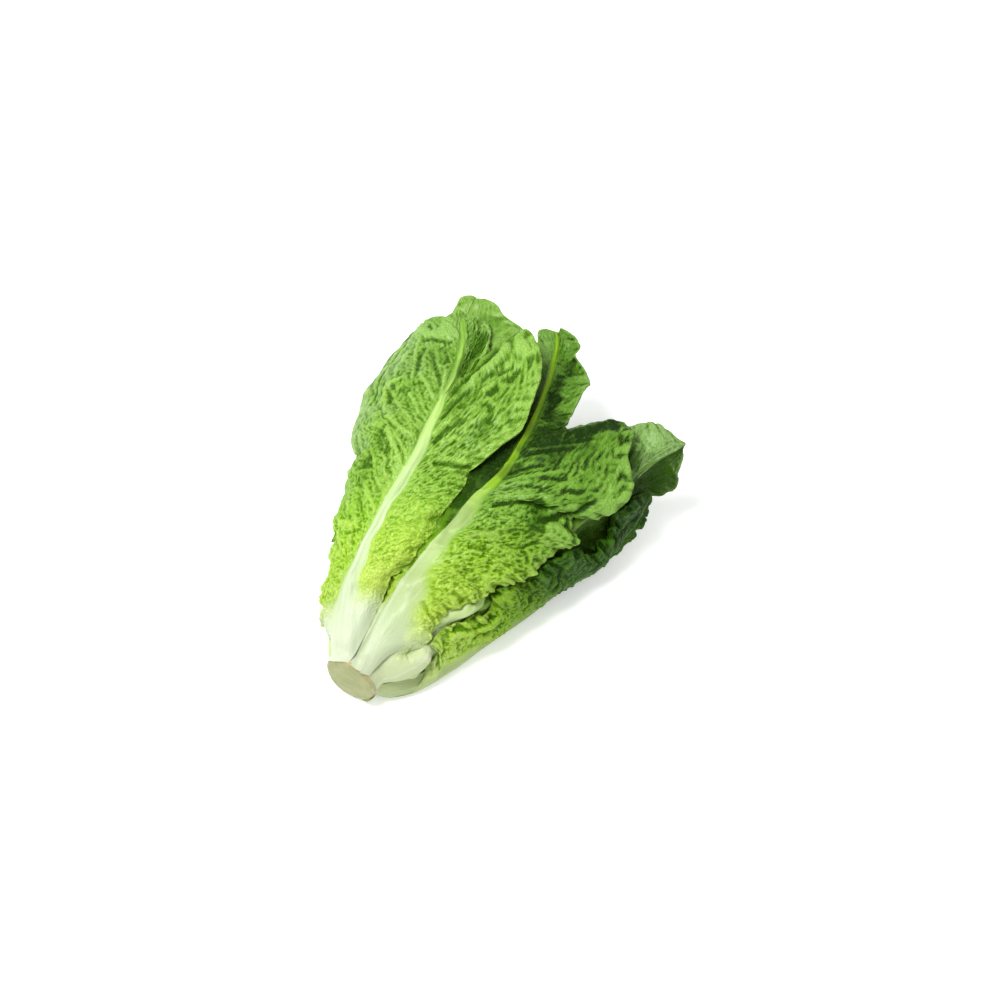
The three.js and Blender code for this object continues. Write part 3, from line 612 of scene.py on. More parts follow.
    jagged = layeredNoise(alongEdge / 4.5, across * 0, seed + 80) - 0.5
    teeth = sideValues(leaf, "teeth", u, across) * jagged
    teeth = teeth * ease(7, 0, toMargin) * ease(0.3, 0.8, v) * baseFade * tipFade
    teeth = teeth + sideValues(leaf, "outset", u, across) * ease(18, 0, toMargin)
    outwards = unit(margin - points[:, middle:middle + 1]) * teeth[..., None]
    lift = np.minimum(0.3 + relief + detail, np.maximum(room - 0.5, 0.1))
    lowest = np.minimum(detail, lift)
    for axis in (0, 1):
        for _ in range(2):
            beside = [np.roll(lowest, 1, axis), np.roll(lowest, -1, axis)]
            lowest = np.minimum(lowest, np.minimum(*beside))
    sunk = np.minimum(detail - 0.25, lowest - 0.5)
    outer = points + facing * lift[..., None] + outwards
    inner = points + facing * sunk[..., None] + outwards
    markLaid(inner, facing, 0 * sunk)
    tucked = (sideValues(leaf, "tuck", u, across) * ease(9, 0, toMargin))[..., None]
    outer, inner = outer - facing * tucked, inner - facing * tucked
    inner[0], inner[-1] = outer[0], outer[-1]

    # the grid wraps round both faces of the leaf and closes on itself
    rim = leaf.get("rim", stemCut["radius"] - 1.5)
    wrapped = np.concatenate([outer, inner[:, ::-2], outer[:, :1]], axis=1)
    wrapped = joinStem(wrapped, rim, leaf.get("start", 4.4))
    wrapped[..., 2] = np.maximum(wrapped[..., 2], 0.02)
    wrapped = (wrapped - headMiddle) * mm
    bpy.ops.object.select_all(action="DESELECT")
    bpy.ops.mesh.primitive_grid_add(x_subdivisions=wrapped.shape[1] - 1, y_subdivisions=rows - 1, size=1)
    piece = bpy.context.object
    piece.name = piece.data.name = leaf["name"] + "_blade"
    piece.data.vertices.foreach_set("co", wrapped.reshape(-1))
    masks = {
        "rib": np.maximum(ease(1.25, 0.6, away / ribWide), ease(0.16, 0.06, u)),
        "vein": np.clip(vein, 0, 1),
        "net": (1 - ease(0, 0.35, cells)) * offRib * patchy * netShare,
        # blister middles, darkened slightly in the material as painted shade
        "hollow": pillow * offRib * patchy,
        # painted shade in creases, painted highlight on ridges
        "cavity": np.clip(low / 0.36 + wider / 3, -1, 1),
        "edge": ease(2.4, 0, toMargin) * baseFade,
        # painted highlight along the crest of the rib
        "keel": np.exp(-(away / (0.13 * ribWide)) ** 2) * ease(0.5, 0.2, u),
        # painted shade below zero, painted light above zero
        "shade": np.clip(shade, -1, 1),
    }
    for name, values in masks.items():
        values = np.concatenate([values, values[:, ::-2], values[:, :1]], axis=1)
        mask = piece.data.attributes.new(name, "FLOAT", "POINT")
        mask.data.foreach_set("value", values.astype(np.float32).reshape(-1))
    share = np.linspace(0, 1, columns)
    share = np.tile(np.concatenate([share, share[::-2], [0]]), rows)
    leafMap = np.stack([share, np.repeat(np.linspace(0, 1, rows), wrapped.shape[1])], -1)
    corners = np.zeros(len(piece.data.loops), int)
    piece.data.loops.foreach_get("vertex_index", corners)
    piece.data.uv_layers.active.data.foreach_set("uv", leafMap[corners].reshape(-1))
    bpy.ops.object.mode_set(mode="EDIT")
    bpy.ops.mesh.select_all(action="SELECT")
    bpy.ops.mesh.remove_doubles(threshold=0.002 * mm)
    bpy.ops.object.mode_set(mode="OBJECT")
    bpy.ops.object.shade_smooth()
    piece.data.materials.append(leafSkin(leaf))
    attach(piece, "root")
    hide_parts(leaf["name"])
    print("leaf grown:", piece.name, len(piece.data.polygons), "faces")
    return piece


# the cut stem

stemCut = {"radius": 19, "height": 22, "depth": 3.6, "bevel": 1.1, "dome": 0.8, "core": 30,
           "insets": 13, "insetStep": 1.3, "facetsRound": 144}


def stemFinish():
    skin = bpy.data.materials.new("stem_cut_skin")
    skin.use_nodes = True
    tree = skin.node_tree
    shader = tree.nodes["Principled BSDF"]
    place = tree.nodes.new("ShaderNodeTexCoord").outputs["Object"]
    rim = addNode(tree, "ShaderNodeAttribute", attribute_name="rim").outputs["Fac"]
    ring = addNode(tree, "ShaderNodeAttribute", attribute_name="ring").outputs["Fac"]
    cloud = addNode(tree, "ShaderNodeTexNoise", {"Vector": place, "Scale": 130.0, "Detail": 5.0})
    cloud = cloud.outputs["Fac"]
    grain = addNode(tree, "ShaderNodeTexNoise", {"Vector": place, "Scale": 900.0, "Detail": 3.0})
    grain = grain.outputs["Fac"]
    stretched = addNode(tree, "ShaderNodeMapping", {
        "Vector": place, "Rotation": (0, 0.6, 0), "Scale": (1500, 90, 160)})
    scratch = addNode(tree, "ShaderNodeTexNoise", {"Vector": stretched.outputs["Vector"], "Scale": 1.0,
                                                   "Detail": 2.0}).outputs["Fac"]
    side = addNode(tree, "ShaderNodeAttribute", attribute_name="side").outputs["Fac"]
    face = blend(tree, between(tree, cloud, 0.35, 0.7), paint(135, 138, 87), paint(121, 128, 74))
    face = blend(tree, mathOf(tree, "MULTIPLY", ring, 0.4), face, paint(144, 145, 98))
    face = blend(tree, between(tree, scratch, 0.58, 0.72, 0.0, 0.35), face, paint(117, 120, 70))
    tan = blend(tree, between(tree, cloud, 0.4, 0.65), paint(162, 134, 82), paint(146, 138, 98))
    colour = blend(tree, mathOf(tree, "MULTIPLY", rim, 0.8), face, tan)
    colour = blend(tree, side, colour, paint(142, 153, 114))
    tree.links.new(colour, shader.inputs["Base Color"])
    tree.links.new(between(tree, grain, 0.3, 0.7, 0.45, 0.62), shader.inputs["Roughness"])
    height = mathOf(tree, "ADD", grain, mathOf(tree, "MULTIPLY", scratch, 1.2))
    bump = addNode(tree, "ShaderNodeBump", {"Height": height, "Strength": 0.45, "Distance": 0.0004})
    tree.links.new(bump.outputs["Normal"], shader.inputs["Normal"])
    shader.inputs["Subsurface Weight"].default_value = 0.25
    shader.inputs["Subsurface Radius"].default_value = (0.9, 1.0, 0.4)
    shader.inputs["Subsurface Scale"].default_value = 0.004
    return skin


def cutStem():
    size = stemCut
    bpy.ops.object.select_all(action="DESELECT")
    bpy.ops.mesh.primitive_cylinder_add(
        vertices=size["facetsRound"], radius=size["radius"] * mm,
        depth=size["depth"] * mm, end_fill_type="NGON",
        location=(-headMiddle[0] * mm, (size["depth"] / 2 + 0.3 - headMiddle[1]) * mm, size["height"] * mm),
        rotation=(pi / 2, 0, 0))
    piece = bpy.context.object
    piece.name = piece.data.name = "stem_cut"
    bpy.ops.object.transform_apply(location=True, rotation=True, scale=True)
    bpy.ops.object.mode_set(mode="EDIT")
    bpy.ops.mesh.select_mode(type="FACE")
    bpy.ops.mesh.select_all(action="DESELECT")
    bpy.ops.object.mode_set(mode="OBJECT")
    for face in piece.data.polygons:
        face.select = abs(face.normal.y) > 0.9
    bpy.ops.object.mode_set(mode="EDIT")
    bpy.ops.mesh.inset(thickness=size["bevel"] * mm)
    for _ in range(size["insets"]):
        bpy.ops.mesh.inset(thickness=size["insetStep"] * mm)
    bpy.ops.mesh.poke()
    bpy.ops.object.mode_set(mode="OBJECT")
    count = len(piece.data.vertices)
    points = np.zeros(count * 3)
    piece.data.vertices.foreach_get("co", points)
    points = points.reshape(-1, 3) / mm + headMiddle
    x, z = points[:, 0], points[:, 2] - size["height"]
    radius, angle = np.hypot(x, z), np.arctan2(z, x)
    front = points[:, 1] < 1
    share = radius / size["radius"]
    uneven = 1 + 0.02 * np.sin(3 * angle + 1) + 0.015 * np.sin(5 * angle) + 0.008 * np.sin(17 * angle)
    rounded = ease(0.93, 1.0, share)
    marks = layeredNoise(x / 3.1, z / 5.2, 4) - 0.5
    lowered = size["dome"] * share ** 2 + 1.4 * rounded ** 2 + 0.35 * marks
    back = size["depth"] + size["core"] * np.maximum(1 - share, 0) ** 1.3
    points[:, 1] = np.where(front, 0.15 + lowered, back)
    points[:, 0] = x * uneven
    points[:, 2] = size["height"] + z * uneven
    rim = np.where(front, ease(0.9, 1, share + 0.05 * layeredNoise(angle * 3, share * 4, 8) - 0.03), 1)
    side = np.where(front, 0, ease(1, 5, points[:, 1]))
    ring = np.where(front, np.exp(-((share - 0.62) / 0.06) ** 2), 0)
    piece.data.vertices.foreach_set("co", ((points - headMiddle) * mm).reshape(-1))
    for name, values in {"rim": rim, "ring": ring, "side": side}.items():
        mask = piece.data.attributes.new(name, "FLOAT", "POINT")
        mask.data.foreach_set("value", values.astype(np.float32))
    piece.data.update()
    bpy.ops.object.shade_smooth_by_angle(angle=radians(50))
    piece.data.materials.append(stemFinish())
    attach(piece, "root")
    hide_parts("stem")
    print("stem cut:", len(piece.data.polygons), "faces")


cutStem()


# the leaves, outermost first

defaultRib = {
    "ribHalf": [8, 9, 8, 6, 4.5, 3.4, 2.4, 1.6, 1],
    "ribHigh": [1.6, 2.2, 2.2, 2, 1.6, 1.2, 0.9, 0.6, 0.4],
}
innerTones = {
    "blade": [(0, (222, 234, 190)), (0.4, (180, 214, 104)), (1, (134, 184, 72))],
    "deep": [(0, (200, 218, 150)), (0.4, (132, 178, 56)), (1, (84, 138, 36))],
    "pale": [(0, (236, 243, 214)), (0.4, (212, 234, 150)), (1, (176, 216, 124))],
    "vein": [(0, (236, 243, 214)), (0.5, (206, 230, 150)), (1, (172, 212, 120))],
    "rib": [(0, (232, 240, 214)), (0.5, (220, 236, 182)), (1, (184, 218, 130))],
}
heartTones = {
    "blade": [(0, (232, 240, 206)), (0.5, (214, 230, 140)), (1, (190, 218, 110))],
    "deep": [(0, (216, 228, 176)), (0.5, (186, 208, 96)), (1, (156, 194, 74))],
    "pale": [(0, (242, 246, 224)), (0.5, (232, 242, 184)), (1, (214, 234, 150))],
    "vein": [(0, (240, 245, 222)), (0.5, (228, 238, 178)), (1, (210, 230, 146))],
    "rib": [(0, (238, 243, 222)), (0.5, (234, 241, 204)), (1, (216, 234, 164))],
}


upperLeft = {
    "name": "leaf_upper_left", "slot": "leaf_outer", "rows": 336, "columns": 173, "seed": 1,
    "fold": 1.3, "veins": 9, "waves": 8, "ruffle": [1, 1.5, 2, 2, 2, 2, 2.5],
    "ribHalf": [9, 10, 9, 7.5, 6, 5, 4.2, 3.2, 2.2, 1.2],
    "ribHigh": [3, 4, 4, 3.5, 3, 2.5, 2, 1.4, 0.8, 0.4],
    "bulgeLeft": [3, 4, 6, 8, 10, 14, 18, 19, 11, 3],
    "bulgeRight": [2, 5, 6, 6, 4, 0, 3, -3, -3, 0],
    "rib": [
      [-11, 5, 36], [-23, 29, 48], [-30, 50, 58], [-34, 75, 68], [-36, 102, 77],
      [-37, 129, 85], [-42, 159, 90], [-46, 190, 93], [-56, 222, 91], [-71, 248, 86],
    ],
    "left": [
      [0, -18.5, 5, 25], [0.07, -25, 17, 26], [0.13, -38, 24, 30], [0.2, -43, 37, 33],
      [0.3, -52, 58, 36], [0.37, -59, 77, 38], [0.41, -68, 81, 42], [0.46, -68, 95, 42],
      [0.52, -78, 115, 42], [0.565, -79, 124, 45], [0.59, -68, 131, 58], [0.62, -73, 136, 58],
      [0.65, -89, 142, 46], [0.7, -103, 168, 26], [0.76, -110, 190, 22], [0.82, -112, 213, 24],
      [0.88, -109, 234, 34], [0.92, -101, 239, 58], [0.95, -93, 242, 74], [0.98, -79, 244, 82],
      [1, -72, 249, 86],
    ],
    "right": [
      [0, -1, 5, 39.5], [0.1, -4.5, 38.5, 51], [0.2, -8, 59.5, 60], [0.3, -3.5, 80.5, 69.5],
      [0.4, -3, 102.5, 78.5], [0.46, -2.5, 120.5, 81.5], [0.5, -1.5, 133, 83.5],
      [0.53, -2.5, 144, 85.5], [0.545, 0, 150, 88.5], [0.57, 6, 165, 91], [0.6, 11, 178, 96],
      [0.625, 15, 189, 99], [0.65, 12, 206, 102], [0.68, 6, 227, 103], [0.7, -4, 243, 103],
      [0.72, -22, 255, 101], [0.735, -31, 243, 95], [0.75, -38, 238, 87], [0.78, -40, 237, 83],
      [0.82, -43, 241, 82], [0.87, -48, 252, 82], [0.92, -56, 258, 83], [0.97, -63, 255, 85],
      [1, -72, 249, 86],
    ],
    "sideVeins": 26, "sweep": 0.3, "veinHigh": 0.8, "blisterSize": 6.5, "rim": 19.3,
    "ribMove": [0, 0.5, 2.5, 3, 3, 4.5, 5, 4.5, 2],
    "ribShareLeft": [1, 0.8, 0.66, 0.85, 1.1, 1.5, 1.6], "ribShareRight": [1.3, 1, 0.66, 0.8, 1.1, 1.6, 1.8],
    "foldsLeft": [0, 1.5, 2.4, 2.7, 2.5, 2.1, 1.7], "foldsRight": [0, 0.2, 1, 1.8, 2.2, 1.8, 1.5],
    # side profiles of painted light above zero and painted shade below zero
    "tintLeft": [0, 0, 0.1, 0.2, 0.25, 0.25, 0.2], "tintRight": [0.3, 0.5, 0.7, 0.45, 0.05, 0, 0.1],
    "blisterLeft": [0.4, 0.6, 0.6, 0.5, 0.3, 0.2, 0.2, 0.2],
    "blisterRight": [0, 0.1, 0.8, 0.6, 0.3, 0.2, 0.1, 0.1],
    "crinkleLeft": [0, 0.9, 1, 0.9, 0.8, 0.7, 0.6, 0.4], "crinkleRight": [0, 0, 1.6, 1.5, 0.8, 0.8, 0.7, 0.5],
    "netShareRight": [0, 0.1, 0.9, 1, 1, 1, 1],
    "frillLeft": [0, 2.5, 2.5, 0.8, 0.5, 0.5, 0.6], "frillRight": [0, 0.6, 0.8, 0.8, 0.5, 0.5, 0.6],
    "teethLeft": [0, 3, 4.5, 3, 0.8, 0.5, 0.6], "teethRight": [0, 2, 2, 1.4, 1.3, 1.3, 1.3],
    "bladeTones": [
        (0, (240, 242, 246)), (0.09, (238, 244, 240)), (0.16, (206, 236, 130)), (0.26, (170, 224, 44)),
        (0.4, (148, 212, 26)), (0.55, (120, 174, 36)), (1, (104, 160, 42)),
    ],
    "deepTones": [
        (0, (234, 238, 226)), (0.1, (228, 236, 208)), (0.19, (140, 194, 24)), (0.5, (64, 112, 10)),
        (1, (50, 94, 12)),
    ],
    "paleTones": [
        (0, (252, 254, 255)), (0.1, (246, 252, 244)), (0.18, (224, 248, 132)), (0.34, (206, 244, 108)),
        (0.5, (178, 226, 112)), (1, (168, 214, 132)),
    ],
    "veinTones": [(0, (228, 238, 196)), (0.4, (196, 228, 122)), (1, (160, 208, 104))],
    "ribTones": [
        (0, (238, 244, 246)), (0.1, (230, 240, 236)), (0.2, (216, 230, 214)), (0.34, (226, 244, 222)),
        (0.5, (226, 250, 208)), (0.7, (212, 248, 166)), (0.85, (184, 232, 124)), (1, (154, 210, 90)),
    ],
    "tuckLeft": [1.5, 1.5, 1, 0, 0], "tuckRight": [1.6, 3.6, 4.6, 3, 1.2, 0, 0],
    "outsetRight": [0, 3.6, 6, 5, 1, 0, 0],
    # strokes: path, width, relief height, then painted shade below zero or painted light above zero; those
    # with no height are painted shade or light only
    "strokes": [
        ([(0.68, -0.58), (0.75, -0.54), (0.82, -0.63), (0.875, -0.64)], 1.8, -1.4, -0.5),
        ([(0.68, -0.44), (0.74, -0.39), (0.805, -0.43), (0.855, -0.48)], 2.8, 1, 0.3),
        ([(0.89, -0.46), (0.85, -0.39), (0.805, -0.28), (0.765, -0.22)], 1.2, 1, 0.6),
        ([(0.865, -0.32), (0.83, -0.3), (0.78, -0.2)], 2.8, -1.4, -0.5),
        ([(0.88, -0.16), (0.865, -0.09), (0.835, -0.06)], 4.5, -1, -0.5),
        ([(0.865, -0.26), (0.835, -0.17), (0.8, -0.06), (0.76, -0.02)], 2, -1.2, -0.45),
        ([(0.83, -0.04), (0.785, -0.01), (0.74, 0.03)], 1.6, 0.9, 0.4),
        ([(0.92, -0.88), (0.9, -0.35), (0.92, -0.21), (0.955, -0.04)], 5.5, 1.8, 0.8),
        ([(0.925, -0.58), (0.91, -0.37)], 1.8, -1.2, -0.68),
        ([(0.875, -0.41), (0.885, -0.31), (0.89, -0.19), (0.905, -0.06)], 1.8, -1.4, -0.5),
        ([(0.665, -0.34), (0.705, -0.39), (0.735, -0.43), (0.755, -0.37), (0.765, -0.3)], 1.4, 1.1, 0.5),
        ([(0.69, -0.33), (0.73, -0.38), (0.75, -0.35)], 2.4, -1.4, -0.55),
        ([(0.67, -0.33), (0.65, -0.23), (0.64, -0.14), (0.635, -0.04)], 1.4, 1.1, 0.6),
        ([(0.8, -0.25), (0.77, -0.11), (0.745, -0.03)], 1.3, 0.9, 0.5),
        ([(0.74, -0.22), (0.715, -0.13), (0.69, -0.06)], 1.2, 0.8, 0.45),
        ([(0.69, -0.2), (0.67, -0.1), (0.655, -0.02)], 1.2, 0.8, 0.4),
        ([(0.64, -0.34), (0.605, -0.25), (0.57, -0.09), (0.54, 0.03)], 1.9, 1.3, 0.8),
        ([(0.635, -0.24), (0.605, -0.15), (0.58, -0.03)], 1.4, 1, 0.7),
        ([(0.6, -0.18), (0.58, -0.08), (0.55, -0.01)], 1.2, -1.2, -0.64),
        ([(0.635, -0.45), (0.6, -0.43), (0.565, -0.18)], 5, -0.9, -0.5),
        ([(0.745, -0.3), (0.735, -0.2)], 3, -0.6, -0.4),
        ([(0.52, -0.45), (0.535, -0.45), (0.555, -0.35)], 4.5, -2, -0.81),
        ([(0.45, -0.38), (0.42, -0.26), (0.375, -0.15)], 2.4, -1, -0.59),
        ([(0.485, -0.34), (0.445, -0.19), (0.41, -0.03)], 1.6, 1, 0.7),
        ([(0.51, -0.25), (0.48, -0.11), (0.445, 0.04)], 1.6, 0.8, 0.6),
        ([(0.91, 0.81), (0.865, 0.67), (0.835, 0.51), (0.75, 0.44)], 5.5, -2.6, -0.59),
        ([(0.94, 0.92), (0.885, 0.94), (0.835, 1), (0.815, 0.84), (0.82, 0.59), (0.75, 0.46)], 1.3, 1.6, 0.9),
        ([(0.945, 0.31), (0.89, 0.14), (0.85, 0.18)], 2.6, 0.7, 0.35),
        ([(0.735, 0.91), (0.73, 0.66), (0.73, 0.48), (0.735, 0.31), (0.715, 0.16)], 3.6, -3.2, -0.77),
        ([(0.72, 0.82), (0.715, 0.68), (0.715, 0.58), (0.72, 0.46), (0.705, 0.37)], 2.8, 2.2, 0.4),
        ([(0.71, 0.78), (0.71, 0.89), (0.7, 0.94)], 7, 0.8, 0.5),
        ([(0.705, 0.46), (0.705, 0.57), (0.7, 0.66), (0.7, 0.77)], 1.6, -1.3, -0.5),
        ([(0.685, 0.71), (0.69, 0.75), (0.695, 0.82)], 3.2, -1.7, -0.59),
        ([(0.68, 0.54), (0.685, 0.59), (0.685, 0.64)], 3.2, -1.4, -0.55),
        ([(0.69, 0.48), (0.69, 0.54), (0.695, 0.6)], 1.8, 1.4, 0.6),
        ([(0.605, 0.18), (0.63, 0.23), (0.64, 0.32), (0.65, 0.43)], 2.3, -2, -0.66),
        ([(0.66, 0.15), (0.69, 0.19), (0.7, 0.27), (0.705, 0.37)], 2.5, -1.8, -0.61),
        ([(0.63, 0.12), (0.64, 0.2), (0.66, 0.27), (0.675, 0.33)], 1.9, 1.4, 0.45),
        ([(0.58, 0.18), (0.59, 0.24), (0.61, 0.33), (0.625, 0.4)], 2, 1.2, 0.35),
        ([(0.585, 0.32), (0.6, 0.37), (0.61, 0.44)], 1.5, -1.1, -0.55),
        ([(0.57, 0.5), (0.585, 0.53), (0.595, 0.59)], 1.5, -1.1, -0.5),
        ([(0.67, 0.54), (0.65, 0.64), (0.63, 0.67)], 2.4, -1.2, -0.4),
        ([(0.69, 0.96), (0.675, 0.98), (0.655, 0.99), (0.635, 0.98), (0.605, 1), (0.575, 0.99),
          (0.555, 0.98)], 3.4, 0.5, 0.65),
        ([(0.445, 0.14), (0.385, 0.12), (0.32, 0.13), (0.25, 0.13), (0.2, 0.2),
          (0.145, 0.3)], 1.3, -1.1, -0.5),
        ([(0.545, 0.96), (0.545, 0.81), (0.555, 0.55), (0.555, 0.35)], 2.2, -2.2, -0.68),
        ([(0.385, 0.53), (0.415, 0.64), (0.455, 0.62)], 2, 1, 0.3),
        ([(0.395, -0.74), (0.38, -0.44), (0.385, -0.23)], 3, 1.2, 0.8),
        ([(0.35, -0.46), (0.35, -0.27), (0.365, -0.13)], 1.6, -1.2, -0.77),
        ([(0.715, 0.74), (0.705, 0.77), (0.69, 0.71)], 7, 0, 0.55),
        ([(0.685, 0.92), (0.665, 0.88), (0.64, 0.86)], 5, 0, 0.45),
        ([(0.625, 0.89), (0.59, 0.98), (0.565, 0.99)], 5, 0, 0.4),
        ([(0.42, 0.85), (0.335, 0.92), (0.25, 0.99), (0.165, 0.95)], 7, 0, 0.8),
        ([(0.11, 0.75), (0.065, 0.81), (0.02, 0.79)], 7, 0, 0.6),
        ([(0.67, 0.41), (0.665, 0.34), (0.655, 0.26)], 6, 0, -0.4),
        ([(0.64, 0.63), (0.625, 0.64), (0.595, 0.73)], 5, 0, -0.35),
        ([(0.875, -0.06), (0.835, -0.04), (0.795, -0.05)], 4, 0, -0.4),
        ([(0.815, 0.84), (0.74, 0.58), (0.735, 0.38)], 4, -0.5, -0.4),
        ([(0.54, 0.68), (0.52, 0.64), (0.53, 0.81)], 5, 0, -0.5),
        ([(0.765, -0.22), (0.755, -0.15)], 4, 0, -0.3),
        ([(0.48, 0.15), (0.52, 0.22), (0.535, 0.35)], 4, 0, 0.3),
        ([(0.54, -0.38), (0.505, -0.39), (0.485, -0.46)], 4, 0, -0.64),
        ([(0.64, -0.41), (0.6, -0.45), (0.555, -0.31)], 4, 0, -0.4),
        ([(0.755, -0.64), (0.715, -0.66), (0.69, -0.48)], 5, 0, 0.2),
        ([(0.17, 0.32), (0.295, 0.16), (0.405, 0.06), (0.525, -0.03), (0.62, -0.04)], 5, 0, 0.9),
        ([(0.17, -0.28), (0.095, -0.18), (0.03, 0.04)], 5, 0, -0.5),
        ([(0.695, -0.66), (0.75, -0.63), (0.83, -0.78), (0.885, -0.78), (0.92, -0.89)], 2.6, 0, -0.72),
        ([(0.67, 0.24), (0.685, 0.32), (0.675, 0.48)], 5, 0, -0.4),
        ([(0.57, 0.81), (0.59, 0.64), (0.605, 0.67)], 6, 0, -0.3),
        ([(0.12, 0.86), (0.175, 0.89), (0.23, 0.91)], 6, 0, 0.7),
        ([(0.965, -0.67), (0.96, -0.25), (0.95, 0.16)], 6, 0, 0.5),
        ([(0.82, 0.12), (0.85, 0.24), (0.89, 0.34)], 3, 0, 0.6),
        ([(0.605, 0.6), (0.625, 0.62), (0.64, 0.67)], 5, 0, -0.4),
    ],
}
growLeaf(upperLeft)


